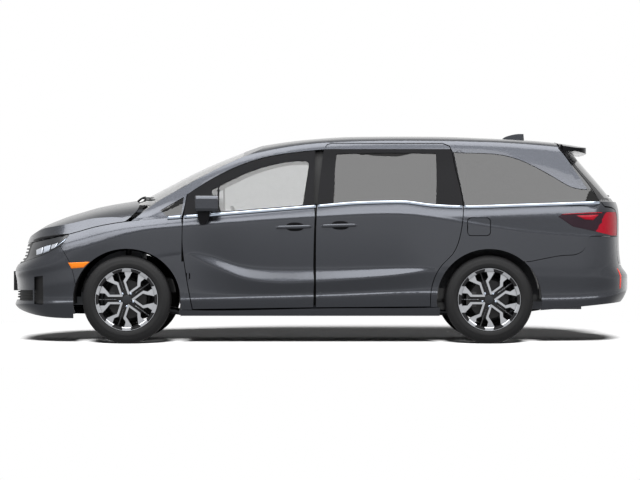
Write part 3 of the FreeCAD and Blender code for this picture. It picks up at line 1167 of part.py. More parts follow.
save("steering_wheel", steering)

# Mirrors
shell_spot = spot(-1030, -1095, 1090)
housing = Part.makeBox(188, 112, 136, shell_spot)
housing = housing.makeFillet(34, [e for e in housing.Edges if e.BoundBox.XLength > 187])
housing = housing.makeFillet(16, [e for e in housing.Edges if e.BoundBox.XMax < shell_spot.x + 1])
foot = side_prism(polygon([(-1012, 1100), (-905, 1100), (-915, 1040), (-940, 990), (-990, 990),
                           (-1008, 1040)]),
                  start=-1052.0, end=-940.0)
glass_seat = box(shell_spot.x + 178, shell_spot.x + 200, shell_spot.y + 14, shell_spot.y + 98,
                 shell_spot.z + 16,
                 shell_spot.z + 120)
mirror = housing.cut(glass_seat).fuse(foot).cut(front_door)
save("mirror_left", mirror)
save("mirror_right", mirrored(mirror))

# Fuel tank, exhaust and aerial
save("fuel_tank", box(px(420), px(900), -460, 300, 240, floor_base))
pipe_x = 360.0
pipe = bar([spot(-1350, 0, 262) + V(0, pipe_x, 0), spot(-1200, 0, 236) + V(0, pipe_x, 0),
            spot(1600, 0, 236) + V(0, pipe_x, 0), spot(1900, 0, 280) + V(0, pipe_x, 0)], 30)
hanger = box(px(-300), px(-260), pipe_x - 20, pipe_x + 20, pz(236), floor_base - 0.3)
muffler = box(px(1700), px(2250), 180, 470, pz(262), floor_base - 28.3)
save("exhaust", fuse([pipe, muffler, hanger]))
fin = Part.Face(wire([[(1551, 1690), (1560, 1722), (1610, 1748), (1690, 1764), (1740, 1764)],
                      [(1740, 1764), (1746, 1690)],
                      [(1746, 1690), (1551, 1690)]], lambda p: V(px(p[0]), -22, pz(p[1])))).extrude(V(0,
                                                                                                      44, 0))
save("roof_aerial", fin.cut(body.under_roof))
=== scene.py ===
"""Dresses the minivan: finishes on its panels, and the pieces that its solids leave out."""

import json
import logging
import math
from dataclasses import dataclass
from enum import Enum
from functools import partial
from typing import Any, Callable, Sequence

import bmesh
import bpy
import numpy as np
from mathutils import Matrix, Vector
from mathutils.bvhtree import BVHTree

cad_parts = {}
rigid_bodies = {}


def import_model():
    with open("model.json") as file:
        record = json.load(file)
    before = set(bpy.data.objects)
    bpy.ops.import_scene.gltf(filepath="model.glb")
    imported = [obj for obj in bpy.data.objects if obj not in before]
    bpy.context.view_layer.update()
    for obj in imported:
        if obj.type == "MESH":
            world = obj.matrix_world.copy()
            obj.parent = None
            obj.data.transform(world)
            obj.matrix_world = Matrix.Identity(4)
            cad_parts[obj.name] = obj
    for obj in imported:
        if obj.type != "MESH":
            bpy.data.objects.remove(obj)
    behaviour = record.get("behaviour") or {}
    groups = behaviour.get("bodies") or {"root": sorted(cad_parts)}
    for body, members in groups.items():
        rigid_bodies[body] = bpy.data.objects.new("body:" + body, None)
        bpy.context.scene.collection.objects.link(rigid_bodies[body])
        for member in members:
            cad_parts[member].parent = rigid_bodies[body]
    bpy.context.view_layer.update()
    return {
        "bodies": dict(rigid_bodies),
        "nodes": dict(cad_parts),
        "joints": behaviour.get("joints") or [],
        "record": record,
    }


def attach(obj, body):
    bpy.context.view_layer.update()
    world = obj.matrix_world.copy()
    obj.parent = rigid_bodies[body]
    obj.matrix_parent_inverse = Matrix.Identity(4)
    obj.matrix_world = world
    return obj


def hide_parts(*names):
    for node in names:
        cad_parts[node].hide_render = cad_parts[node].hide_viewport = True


logging.basicConfig(level=logging.INFO, format="%(message)s")
log = logging.getLogger("minivan")

Array = np.ndarray
Line = tuple[tuple[float, float], ...]
Part = tuple[Array, Any]
Rule = Callable[[Array, Array], Array]

MM = 0.001

# The car's own places, in metres

AXLES = {"front": -1.6, "rear": 1.4}
AXLE_HEIGHT = 0.366
HALF_TRACK = 0.8555
FAR_OUT = 1.4
BEHIND = 3.2
ABOVE = 2.4

# The line that the trim follows along the car, as (x, z) stations in millimetres

BELT_LINE = ((-2606, 802), (-2400, 836), (-2081, 904), (-1824, 972), (-1600, 1008), (-1270, 1040), (-1000, 1058),
             (0, 1138), (330, 1164), (670, 1172), (940, 1142), (1180, 1131), (1700, 1145), (2300, 1166))


def belt(x: Array | float) -> Array:
    """Height of the beltline in metres.

    Args:
        x: places along the car in metres.

    Returns:
        Heights, as a smooth monotone curve through the stations.
    """
    xs, zs = np.array(BELT_LINE, float).T * MM
    steps = np.diff(zs) / np.diff(xs)
    product = steps[:-1] * steps[1:]
    total = steps[:-1] + steps[1:]
    inner = np.where(product <= 0, 0.0, 2 * product / np.where(total == 0, 1, total))
    slopes = np.concatenate([steps[:1], inner, steps[-1:]])
    x = np.clip(np.asarray(x, float), xs[0], xs[-1])
    i = np.clip(np.searchsorted(xs, x, side="right") - 1, 0, len(xs) - 2)
    h = xs[i + 1] - xs[i]
    t = (x - xs[i]) / h
    return (zs[i] * (1 + 2 * t) * (1 - t) ** 2 + slopes[i] * h * t * (1 - t) ** 2
            + zs[i + 1] * t * t * (3 - 2 * t) + slopes[i + 1] * h * t * t * (t - 1))


class Side(Enum):
    """The two sides of the car, as the sign of their y."""

    LEFT = -1
    RIGHT = 1

    @property
    def word(self) -> str:
        """The side's name in lower case."""
        return self.name.lower()

    @property
    def door(self) -> str:
        """The body that the front door on this side moves with."""
        return "door_" + self.word

    @property
    def out(self) -> tuple[float, float, float]:
        """The way outwards on this side."""
        return (0.0, float(self.value), 0.0)


# Finishes


def linear(hex_colour: str) -> tuple[float, float, float, float]:
    """Turns an sRGB hex colour to the linear values that the shaders use.

    Args:
        hex_colour: six hex digits, such as "2a2b2e".

    Returns:
        Red, green, blue and an alpha of 1.
    """
    values = [int(hex_colour[i : i + 2], 16) / 255 for i in (0, 2, 4)]
    r, g, b = [v / 12.92 if v <= 0.04045 else ((v + 0.055) / 1.055) ** 2.4 for v in values]
    return (r, g, b, 1.0)


def wire(tree: bpy.types.NodeTree, kind: str, output: str | int, inputs: dict[str | int, Any],
         **settings: Any) -> bpy.types.NodeSocket:
    """Adds one shader node and gives one of its outputs.

    Args:
        tree: the tree that gets the node.
        kind: the node's type name after "ShaderNode".
        output: the name or number of the output.
        inputs: socket name or number to a value, or to another node's output.
        **settings: attributes of the node.

    Returns:
        The output.
    """
    node = tree.nodes.new("ShaderNode" + kind)
    for key, value in settings.items():
        setattr(node, key, value)
    for key, value in inputs.items():
        if isinstance(value, bpy.types.NodeSocket):
            tree.links.new(value, node.inputs[key])
        else:
            node.inputs[key].default_value = value
    return node.outputs[output]


class Texture(Enum):
    """How a finish's small relief is made."""

    NONE = "none"
    GRAIN = "grain"
    PEEL = "orange peel"
    BRUSHED = "brushed"
    WEAVE = "weave"
    PILE = "pile"
    CAST = "cast"
    LEATHER = "leather"


NOISE_DETAIL = {Texture.PEEL: 1.0, Texture.BRUSHED: 3.0, Texture.CAST: 4.0, Texture.PILE: 6.0}
BRUSH_STRETCH = (1.0, 1.0, 14.0)
BUMP_STRENGTH = 0.6
WEAR_SCALE = 3.1
ROUGHNESS_CHANGE = 0.08


@dataclass(frozen=True)
class Finish:
    """One real finish: its name, its colour, how it takes the light and its small relief."""

    name: str
    colour: str
    roughness: float
    metallic: float = 0.0
    coat: float = 0.0
    specular: float = 0.5
    ior: float = 1.5
    transmission: float = 0.0
    sheen: float = 0.0
    texture: Texture = Texture.NONE
    scale: float = 400.0
    depth: float = 0.0002
    colour_change: float = 0.12

    def start(self) -> tuple[bpy.types.Material, bpy.types.Node]:
        """Makes the material with its shader's plain values.

        Returns:
            The material and its main shader.
        """
        material = bpy.data.materials.new(self.name)
        material.use_nodes = True
        shader = material.node_tree.nodes["Principled BSDF"]
        values = {"Base Color": linear(self.colour), "Roughness": self.roughness, "Metallic": self.metallic,
                  "Coat Weight": self.coat, "Specular IOR Level": self.specular, "IOR": self.ior,
                  "Transmission Weight": self.transmission, "Sheen Weight": self.sheen}
        for name, value in values.items():
            shader.inputs[name].default_value = value
        return material, shader

    def place(self, tree: bpy.types.NodeTree, stretch: Sequence[float] = (1.0, 1.0, 1.0)) -> bpy.types.NodeSocket:
        """Gives the object coordinates.

        Args:
            tree: the material's nodes.
            stretch: scale along x, y and z.

        Returns:
            The coordinate output.
        """
        spot = wire(tree, "TexCoord", "Object", {})
        return wire(tree, "Mapping", "Vector", {"Vector": spot, "Scale": stretch})

    def relief(self, tree: bpy.types.NodeTree) -> bpy.types.NodeSocket:
        """Makes the height pattern of the finish.

        Args:
            tree: the material's nodes.

        Returns:
            The height output, from 0 to 1.
        """
        kind = self.texture
        spots = {"Vector": self.place(tree, BRUSH_STRETCH if kind is Texture.BRUSHED else (1.0, 1.0, 1.0)),
                 "Scale": self.scale}
        if kind is Texture.WEAVE:
            bands = [wire(tree, "TexWave", "Fac", spots, wave_type="BANDS", bands_direction=way)
                     for way in ("DIAGONAL", "Z")]
            return wire(tree, "Math", 0, {0: bands[0], 1: bands[1]}, operation="MULTIPLY")
        if kind in (Texture.LEATHER, Texture.GRAIN):
            return wire(tree, "TexVoronoi", "Distance", spots, feature="SMOOTH_F1")
        return wire(tree, "TexNoise", "Fac", {**spots, "Detail": NOISE_DETAIL[kind]})

    def tone(self, tree: bpy.types.NodeTree, shader: bpy.types.Node, factor: bpy.types.NodeSocket) -> None:
        """Scales the base colour by a factor that changes over the surface.

        Args:
            tree: the material's nodes.
            shader: its main shader.
            factor: the factor's output.
        """
        base = wire(tree, "VectorMath", 0, {0: linear(self.colour)[:3], "Scale": factor}, operation="SCALE")
        tree.links.new(base, shader.inputs["Base Color"])

    def wear(self, tree: bpy.types.NodeTree, shader: bpy.types.Node) -> None:
        """Varies the colour and the roughness a little over the surface, as dust and wear do.

        Args:
            tree: the material's nodes.
            shader: its main shader.
        """
        noise = wire(tree, "TexNoise", "Fac", {"Vector": self.place(tree), "Scale": WEAR_SCALE, "Detail": 5.0})

        def around(middle: float, change: float) -> bpy.types.NodeSocket:
            """A value that swings about its middle by a share of it."""
            ends = {"To Min": middle * (1 - change), "To Max": middle * (1 + change)}
            return wire(tree, "MapRange", "Result", {"Value": noise, "From Min": 0.3, "From Max": 0.7, **ends})

        self.tone(tree, shader, around(1.0, self.colour_change))
        tree.links.new(around(self.roughness, ROUGHNESS_CHANGE), shader.inputs["Roughness"])

    def make(self) -> bpy.types.Material:
        """Returns the whole material, with its relief and its slight variation."""
        material, shader = self.start()
        tree = material.node_tree
        if self.texture is not Texture.NONE:
            bump = wire(tree, "Bump", "Normal", {"Height": self.relief(tree), "Distance": self.depth,
                                                 "Strength": BUMP_STRENGTH})
            tree.links.new(bump, shader.inputs["Normal"])
        if self.colour_change:
            self.wear(tree, shader)
        return material


@dataclass(frozen=True)
class MetallicPaint(Finish):
    """Grey metallic paint: fine flakes under a clear coat with a faint orange peel."""

    flake: float = 1400.0
    contrast: float = 0.18
    peel: float = 160.0
    peel_depth: float = 0.00003
    peel_strength: float = 0.35

    def make(self) -> bpy.types.Material:
        """Returns the paint, whose flakes change its tone and whose coat has a faint peel."""
        material, shader = self.start()
        tree = material.node_tree
        place = self.place(tree)
        flakes = wire(tree, "TexVoronoi", "Distance", {"Vector": place, "Scale": self.flake}, feature="F1")
        ends = {"To Min": 1 + self.contrast, "To Max": 1 - self.contrast}
        self.tone(tree, shader, wire(tree, "MapRange", "Result", {"Value": flakes, "From Max": 0.8, **ends}))
        waves = wire(tree, "TexNoise", "Fac", {"Vector": place, "Scale": self.peel, "Detail": 1.0})
        bump = wire(tree, "Bump", "Normal", {"Height": waves, "Distance": self.peel_depth,
                                             "Strength": self.peel_strength})
        tree.links.new(bump, shader.inputs["Coat Normal"])
        return material


@dataclass(frozen=True)
class PaneGlass(Finish):
    """Tinted window glass: it lets the light through and takes a share of it on the way."""

    roughness: float = 0.0
    specular: float = 0.08
    ior: float = 1.45
    transmission: float = 1.0

    def make(self) -> bpy.types.Material:
        """Returns the glass, with faint smears in its gloss."""
        material, shader = self.start()
        tree = material.node_tree
        smear = wire(tree, "TexNoise", "Fac", {"Vector": self.place(tree), "Scale": 5.0, "Detail": 3.0})
        rough = wire(tree, "MapRange", "Result", {"Value": smear, "To Min": 0.0, "To Max": 0.02})
        tree.links.new(rough, shader.inputs["Roughness"])
        return material


class Shelf:
    """All the finishes of the car, each made once, when it is first asked for."""

    PAINT = MetallicPaint("metallic_paint", "3a3c41", 0.26, metallic=0.9, coat=0.3)
    BLACK_GLOSS = Finish("gloss_black_cover", "0d0d0f", 0.3, specular=0.05, texture=Texture.PEEL, scale=120,
                         depth=0.00002)
    BLACK_GRAIN = Finish("grained_black_plastic", "121213", 0.6, specular=0.25, texture=Texture.GRAIN, scale=900)
    CHROME = Finish("bright_trim", "a3acb9", 0.16, metallic=1.0, texture=Texture.PEEL, scale=60, depth=0.00002,
                    colour_change=0.03)
    GLASS_FRONT = PaneGlass("clear_green_glass", "bcbdbd", specular=0.1)
    GLASS_PRIVACY = PaneGlass("privacy_glass", "252527")
    GLASS_REAR = PaneGlass("rear_privacy_glass", "222224")
    TYRE = Finish("tyre_rubber", "0f0f10", 0.62, specular=0.22, texture=Texture.CAST, scale=500, depth=0.00025,
                  colour_change=0.16)
    MACHINED = Finish("machined_face", "a2a4a8", 0.3, metallic=1.0, coat=0.6, texture=Texture.BRUSHED, scale=90,
                      depth=0.00003, colour_change=0.05)
    WHEEL_BLACK = Finish("wheel_black", "0e0e10", 0.35, specular=0.2, coat=0.1, texture=Texture.CAST, scale=350,
                         depth=0.00006)
    STEEL = Finish("brake_steel", "55575b", 0.42, metallic=1.0, texture=Texture.BRUSHED, scale=120, depth=0.0001)
    IRON = Finish("cast_iron", "2a2b2d", 0.62, metallic=0.5, texture=Texture.CAST, scale=220, depth=0.0005)
    ARCH_LINING = Finish("arch_lining", "050506", 0.95, specular=0.02, texture=Texture.CAST, scale=120, depth=0.0004)
    CHASSIS = Finish("chassis_paint", "141516", 0.5, coat=0.2, texture=Texture.CAST, scale=180, depth=0.0003)
    CARPET = Finish("floor_carpet", "232427", 0.95, sheen=0.3, texture=Texture.PILE, scale=700, depth=0.002)
    ROOF_LINING = Finish("roof_lining", "9a9b9c", 0.95, sheen=0.2, texture=Texture.WEAVE, scale=900, depth=0.0004)
    LEATHER = Finish("seat_leather", "202124", 0.45, texture=Texture.LEATHER, scale=520, depth=0.0003)
    SOFT_DASH = Finish("soft_dash", "1b1c1e", 0.62, texture=Texture.LEATHER, scale=600, depth=0.0003)
    SCREEN = Finish("dark_screen", "050608", 0.08, coat=0.8, colour_change=0.05)
    ENGINE = Finish("engine_casting", "55575a", 0.55, metallic=0.8, texture=Texture.CAST, scale=160, depth=0.0008)
    LAMP_CHROME = Finish("lamp_reflector", "c4c9d2", 0.2, metallic=1.0, coat=0.8, texture=Texture.BRUSHED, scale=60)
    LAMP_DARK = Finish("lamp_bezel", "14161a", 0.3, specular=0.3, coat=0.15, texture=Texture.PEEL, scale=80,
                       depth=0.00004)
    LAMP_WHITE = Finish("lamp_light_guide", "9aa0aa", 0.35, coat=0.2, texture=Texture.WEAVE, scale=300)
    TAIL_RED = Finish("tail_red_lens", "86061a", 0.3, specular=0.1, coat=0.1, texture=Texture.WEAVE, scale=260,
                      depth=0.0003)
    TAIL_SMOKE = Finish("tail_smoked_lens", "20121a", 0.3, specular=0.12, coat=0.1, texture=Texture.WEAVE, scale=200)
    REFLECTOR = Finish("reflector_red", "c22a18", 0.3, coat=0.2, texture=Texture.WEAVE, scale=420, depth=0.0005)
    AMBER = Finish("amber_marker", "c9690c", 0.38, specular=0.2, texture=Texture.WEAVE, depth=0.0005)
    MIRROR = Finish("mirror_glass", "dfe3e6", 0.02, metallic=1.0, colour_change=0.02)

    def __init__(self) -> None:
        """Starts with no material made."""
        self.made: dict[str, bpy.types.Material] = {}

    def take(self, finish: Finish) -> bpy.types.Material:
        """Returns the finish's material, made on the first call.

        Args:
            finish: one of the finishes above.

        Returns:
            Its material.
        """
        if finish.name not in self.made:
            self.made[finish.name] = finish.make()
        return self.made[finish.name]


# Meshes


def turns(count: int) -> Array:
    """Even angles round a full circle."""
    return np.linspace(0, 2 * np.pi, count, endpoint=False)


def fold(values: Array, power: float) -> Array:
    """The sign of each value times its size to a power, which squares a round form."""
    return np.sign(values) * np.abs(values) ** power


def grid_faces(rows: int, columns: int, close_rows: bool = False, close_columns: bool = False) -> Array:
    """Four-sided faces between the points of a grid, row by row.

    Args:
        rows: number of rows.
        columns: number of points in a row.
        close_rows: whether the last row joins the first.
        close_columns: whether each row closes on itself.

    Returns:
        An array of point numbers, four to a face.
    """
    r = np.arange(rows if close_rows else rows - 1)
    c = np.arange(columns if close_columns else columns - 1)
    rr, cc = np.meshgrid(r, c, indexing="ij")
    r2, c2 = (rr + 1) % rows, (cc + 1) % columns
    corners = [rr * columns + cc, rr * columns + c2, r2 * columns + c2, r2 * columns + cc]
    return np.stack(corners, axis=-1).reshape(-1, 4)


def tube_faces(rows: int, columns: int) -> list[list[int]]:
    """Faces of a tube whose rows are its rings, with both ends closed.

    Args:
        rows: number of rings.
        columns: number of points in a ring.

    Returns:
        The point numbers of each face.
    """
    faces = grid_faces(rows, columns, close_columns=True).tolist()
    last = (rows - 1) * columns
    return faces + [list(range(columns)), list(range(last, last + columns))[::-1]]


def sweep(path: Array, across: Sequence[float] | Array, out: Sequence[float] | Array, section: Array,
          wide: float | Array = 1.0, tall: float | Array = 1.0) -> Part:
    """Carries a closed section along a path: point = path + wide * a * across + tall * b * out for each (a, b).

    Args:
        path: the path's points.
        across: the section's first axis, once or at each point.
        out: the section's second axis, once or at each point.
        section: the section's (a, b) pairs.
        wide: scale of a, once or at each point.
        tall: scale of b, once or at each point.

    Returns:
        The points and the faces, with both ends closed.
    """
    count = len(path)
    first, second = (np.broadcast_to(axis, path.shape)[:, None, :] for axis in (across, out))
    a = np.broadcast_to(wide, (count,))[:, None, None] * section[None, :, :1]
    b = np.broadcast_to(tall, (count,))[:, None, None] * section[None, :, 1:]
    return path[:, None, :] + a * first + b * second, tube_faces(count, len(section))


def lean(ahead: Array, across: Array, up: Array, degrees: float) -> Array:
    """Leans a form about the car's y axis, its top to the rear.

    Args:
        ahead: the points' x.
        across: their y.
        up: their z.
        degrees: the lean.

    Returns:
        The leaned points.
    """
    turn = math.radians(degrees)
    return np.stack([ahead * math.cos(turn) + up * math.sin(turn), across,
                     up * math.cos(turn) - ahead * math.sin(turn)], axis=-1)


def pillow(half: Sequence[float], powers: Sequence[float], rows: int, columns: int, pole: float) -> list[Array]:
    """A squared round form: x, y = half * fold(cos v, a) * fold(cos or sin u, b) and z = half * fold(sin v, c).

    Args:
        half: its half sizes in metres.
        powers: a, b and c, from 0 for sharp to 1 for round.
        rows: steps of v, from pole to pole.
        columns: steps of u, round it.
        pole: how far from a right angle v stops, in radians.

    Returns:
        The points' x, y and z, row by row.
    """
    v = np.linspace(pole - np.pi / 2, np.pi / 2 - pole, rows)[:, None]
    u = turns(columns)[None, :]
    ring = fold(np.cos(v), powers[0])
    return [half[0] * ring * fold(np.cos(u), powers[1]), half[1] * ring * fold(np.sin(u), powers[1]),
            half[2] * fold(np.sin(v), powers[2]) * np.ones_like(u)]


def block(centre: Sequence[float], half: Sequence[float], power: float = 0.2, tilt: float = 0.0,
          steps: int = 32) -> Part:
    """Makes a rounded block.

    Args:
        centre: its centre in metres.
        half: its half sizes.
        power: how square it is, from 0 for sharp to 1 for round.
        tilt: its lean in degrees, its top to the rear.
        steps: points round.

    Returns:
        The points and the faces.
    """
    rows = steps // 2
    form = pillow(half, (power, power, power), rows, steps, 0.01)
    return lean(*form, tilt) + np.asarray(centre, float), tube_faces(rows, steps)


def merge(parts: Sequence[Part]) -> Part:
    """Joins several surfaces into one.

    Args:
        parts: pairs of points and faces.

    Returns:
        All the points, and all the faces with their numbers moved on.
    """
    faces: list[list[int]] = []
    points: list[Array] = []
    start = 0
    for spots, cells in parts:
        flat = np.asarray(spots, float).reshape(-1, 3)
        points.append(flat)
        faces += [[int(i) + start for i in cell] for cell in cells]
        start += len(flat)
    return np.concatenate(points), faces


def new_object(name: str, points: Array, faces: Any) -> bpy.types.Object:
    """Puts a mesh into the scene.

    Args:
        name: the object's name.
        points: places in metres.
        faces: point numbers of each face.

    Returns:
        The new object.
    """
    data = bpy.data.meshes.new(name)
    data.from_pydata(np.asarray(points, float).reshape(-1, 3).tolist(), [],
                     faces.tolist() if isinstance(faces, np.ndarray) else faces)
    item = bpy.data.objects.new(name, data)
    bpy.context.scene.collection.objects.link(item)
    return item


class Builder:
    """Puts worked-out surfaces into the scene as pieces that ride on a body."""

    def __init__(self, frame: dict[str, Any], shelf: Shelf) -> None:
        """Keeps the frame and the finishes.

        Args:
            shelf: the finishes.
        """
        self.frame = frame
        self.shelf = shelf
        self.count = 0
        self.trees: dict[tuple[str, ...], BVHTree] = {}

    def piece(self, name: str, part: Part, finish: Finish, body: str = "body", slot: str = "black_trim",
              smooth: bool = True) -> bpy.types.Object:
        """Makes one piece from points and faces, and turns its faces outwards.

        Args:
            name: the piece's name.
            part: its points in metres, and its faces.
            finish: what it is made of.
            body: the body that it moves with.
            slot: the record's material slot; not used.
            smooth: whether its faces are shaded round.

        Returns:
            The new object.
        """
        item = new_object(name, *part)
        data = item.data
        data.validate()
        data.polygons.foreach_set("use_smooth", np.full(len(data.polygons), smooth))
        data.materials.append(self.shelf.take(finish))
        mesh = bmesh.new()
        mesh.from_mesh(data)
        bmesh.ops.recalc_face_normals(mesh, faces=mesh.faces)
        mesh.to_mesh(data)
        mesh.free()
        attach(item, body)
        self.count += 1
        log.info("made %s (%d faces)", name, len(data.polygons))
        return item

    def paint(self, name: str, finishes: Sequence[Finish], rule: Rule | None = None) -> None:
        """Gives a solid its materials, and each face the one that a rule picks.

        Args:
            name: the solid's node.
            finishes: its finishes.
            rule: from the faces' centres and normals to the numbers of their finishes.
        """
        data = self.frame["nodes"][name].data
        data.materials.clear()
        for finish in finishes:
            data.materials.append(self.shelf.take(finish))
        if rule is None:
            return
        read = {}
        for key in ("center", "normal"):
            read[key] = np.empty(len(data.polygons) * 3)
            data.polygons.foreach_get(key, read[key])
        picked = rule(read["center"].reshape(-1, 3), read["normal"].reshape(-1, 3))
        data.polygons.foreach_set("material_index", picked.astype(np.int32))

    def tree(self, *nodes: str) -> BVHTree:
        """Gives a search tree over some nodes' faces.

        Args:
            nodes: names of the nodes.

        Returns:
            The tree.
        """
        if nodes not in self.trees:
            points: list[Any] = []
            cells: list[list[int]] = []
            for node in nodes:
                data = self.frame["nodes"][node].data
                start = len(points)
                points += [v.co.copy() for v in data.vertices]
                cells += [[i + start for i in p.vertices] for p in data.polygons]
            self.trees[nodes] = BVHTree.FromPolygons(points, cells)
        return self.trees[nodes]

    def touch(self, nodes: Sequence[str], start: Sequence[float], way: Sequence[float],
              miss: Sequence[float]) -> Vector:
        """Finds where a straight line first meets some nodes.

        Args:
            nodes: names of the nodes.
            start: where the line starts.
            way: its direction.
            miss: what to give where it meets nothing.

        Returns:
            The place.
        """
        hit = self.tree(*nodes).ray_cast(Vector(start), Vector(way))[0]
        return Vector(miss) if hit is None else hit

    def skin_y(self, nodes: Sequence[str], xs: Array, zs: Array, side: Side) -> Array:
        """Finds the outer surface at places given in side view.

        Args:
            nodes: names of the nodes.
            xs: places along the car.
            zs: heights.
            side: which side of the car.

        Returns:
            The y of the surface at each place, with the last good one where the line misses.
        """
        found = []
        last = side.value * 0.98
        for x, z in zip(np.ravel(xs), np.ravel(zs)):
            last = self.touch(nodes, (x, side.value * FAR_OUT, z), (0, -side.value, 0), (x, last, z)).y
            found.append(last)
        return np.array(found).reshape(np.shape(xs))


# Zones of the solids: each rule gives the number of the finish for every face.
# A half width holds at the belt, and falls in by its lean for each metre above it.

DOOR_WITHIN, DOOR_LEAN = 0.915, 0.25
# Body-side faces deeper than this are grained black: partly black trim, partly painted shade in the gaps round the
# doors.
POST_WITHIN, POST_LEAN = 0.905, 0.42
FRAME_STEP = 0.004
RIM_FACE = 0.0865
ARM_RADII = (0.037, 0.2325)
DISC_FACE, DISC_RADIUS = 0.0002, 0.164


def door_zone(centre: Array, normal: Array, top: float = 9.0) -> Array:
    """Painted outside, gloss black above the belt up to a height, and grained within.

    Args:
        centre: the faces' centres.
        normal: their normals.
        top: where the black frame ends.

    Returns:
        The number of each face's finish.
    """
    x, y, z = centre.T
    frame = (z > belt(x) + FRAME_STEP) & (z < top)
    behind = np.abs(y) < DOOR_WITHIN - DOOR_LEAN * np.clip(z - belt(x), 0, 1)
    within = behind & (normal[:, 1] * np.sign(y) < 0.3) & (z < belt(x))
    return np.where(within, 2, np.where(frame, 1, 0))


def side_zone(centre: Array, normal: Array) -> Array:
    """Painted, with grained black posts well behind the skin, partly painted shade of the door gaps, and a gloss
    black pillar before the quarter glass.

    Args:
        centre: the faces' centres.
        normal: their normals; not used.

    Returns:
        The number of each face's finish.
    """
    x, y, z = centre.T
    depth = POST_WITHIN - POST_LEAN * np.clip(z - belt(x), 0, 1)
    # The posts deep behind the skin are grained black: partly black trim, and partly painted shade that darkens the
    # gaps round the doors.
    post_trim_and_gap_shade = (np.abs(y) < depth) & (x > -1.15) & (x < 1.2) & (z > 0.32) & (z < 1.6)
    pillar = (x > 1.08) & (x < 1.2) & (z > belt(x)) & (z < 1.59)
    return np.where(post_trim_and_gap_shade, 1, np.where(pillar, 2, 0))


def gate_zone(centre: Array, normal: Array) -> Array:
    """Painted, and black where the frame beside the glass and the spoiler's flanks are.

    Args:
        centre: the faces' centres.
        normal: their normals.

    Returns:
        The number of each face's finish.
    """
    x, y, z = centre.T
    return np.where((z > 1.19) & (np.abs(normal[:, 2]) < 0.75) & (x < 2.46) & (np.abs(y) > 0.5), 1, 0)


def tail_zone(centre: Array, normal: Array) -> Array:
    """Smoked forward of the line from the lamp's top corner to its bottom, red behind it.

    Args:
        centre: the faces' centres.
        normal: their normals; not used.

    Returns:
        The number of each face's finish.
    """
    return np.where(centre[:, 0] > 2.296 + (centre[:, 2] - 0.945) * 0.518, 1, 0)


def lamp_zone(centre: Array, normal: Array) -> Array:
    """A dark lens outside, plain black within.

    Args:
        centre: the faces' centres.
        normal: their normals.

    Returns:
        The number of each face's finish.
    """
    return np.where(normal[:, 1] * np.sign(centre[:, 1]) < -0.2, 1, 0)


def pane_zone(centre: Array, normal: Array) -> Array:
    """The sliding doors' tint between the posts, the darker one elsewhere.

    Args:
        centre: the faces' centres.
        normal: their normals; not used.

    Returns:
        The number of each face's finish.
    """
    return np.where((centre[:, 0] > 1.1) | (centre[:, 0] < -1.0), 1, 0)


def floor_zone(centre: Array, normal: Array) -> Array:
    """Carpet on the upper faces and above the sills, bare below.

    Args:
        centre: the faces' centres.
        normal: their normals.

    Returns:
        The number of each face's finish.
    """
    x, _, z = centre.T
    return np.where((normal[:, 2] > 0.5) & (z > 0.39) | (x > -1.14) & (z > 0.45), 1, 0)


def roof_zone(centre: Array, normal: Array) -> Array:
    """Painted, with its lining below.

    Args:
        centre: the faces' centres; not used.
        normal: their normals.

    Returns:
        The number of each face's finish.
    """
    return np.where(normal[:, 2] < -0.5, 1, 0)


def mirror_zone(centre: Array, normal: Array) -> Array:
    """Body colour on the housing, black on its foot, silvered glass in its seat.

    Args:
        centre: the faces' centres.
        normal: their normals.

    Returns:
        The number of each face's finish.
    """
    x, y, z = centre.T
    glass = (normal[:, 0] > 0.9) & (x > -0.86) & (x < -0.845)
    return np.where(glass, 2, np.where((np.abs(y) < 0.978) | (z < 1.088), 1, 0))


def rim_zone(centre: Array, normal: Array) -> Array:
    """Machined on the arms' outer faces, steel on the brake disc, black elsewhere.

    Args:
        centre: the faces' centres.
        normal: their normals.

    Returns:
        The number of each face's finish.
    """
    x, y, z = centre.T
    radius = np.hypot(x - np.where(x < 0, AXLES["front"], AXLES["rear"]), z - AXLE_HEIGHT)
    depth = np.abs(y) - HALF_TRACK
    face = (normal[:, 1] * np.sign(y) > 0.8) & (depth > RIM_FACE) & (radius > ARM_RADII[0]) & (radius < ARM_RADII[1])
    return np.where(face, 1, np.where((depth < DISC_FACE) & (radius < DISC_RADIUS), 2, 0))


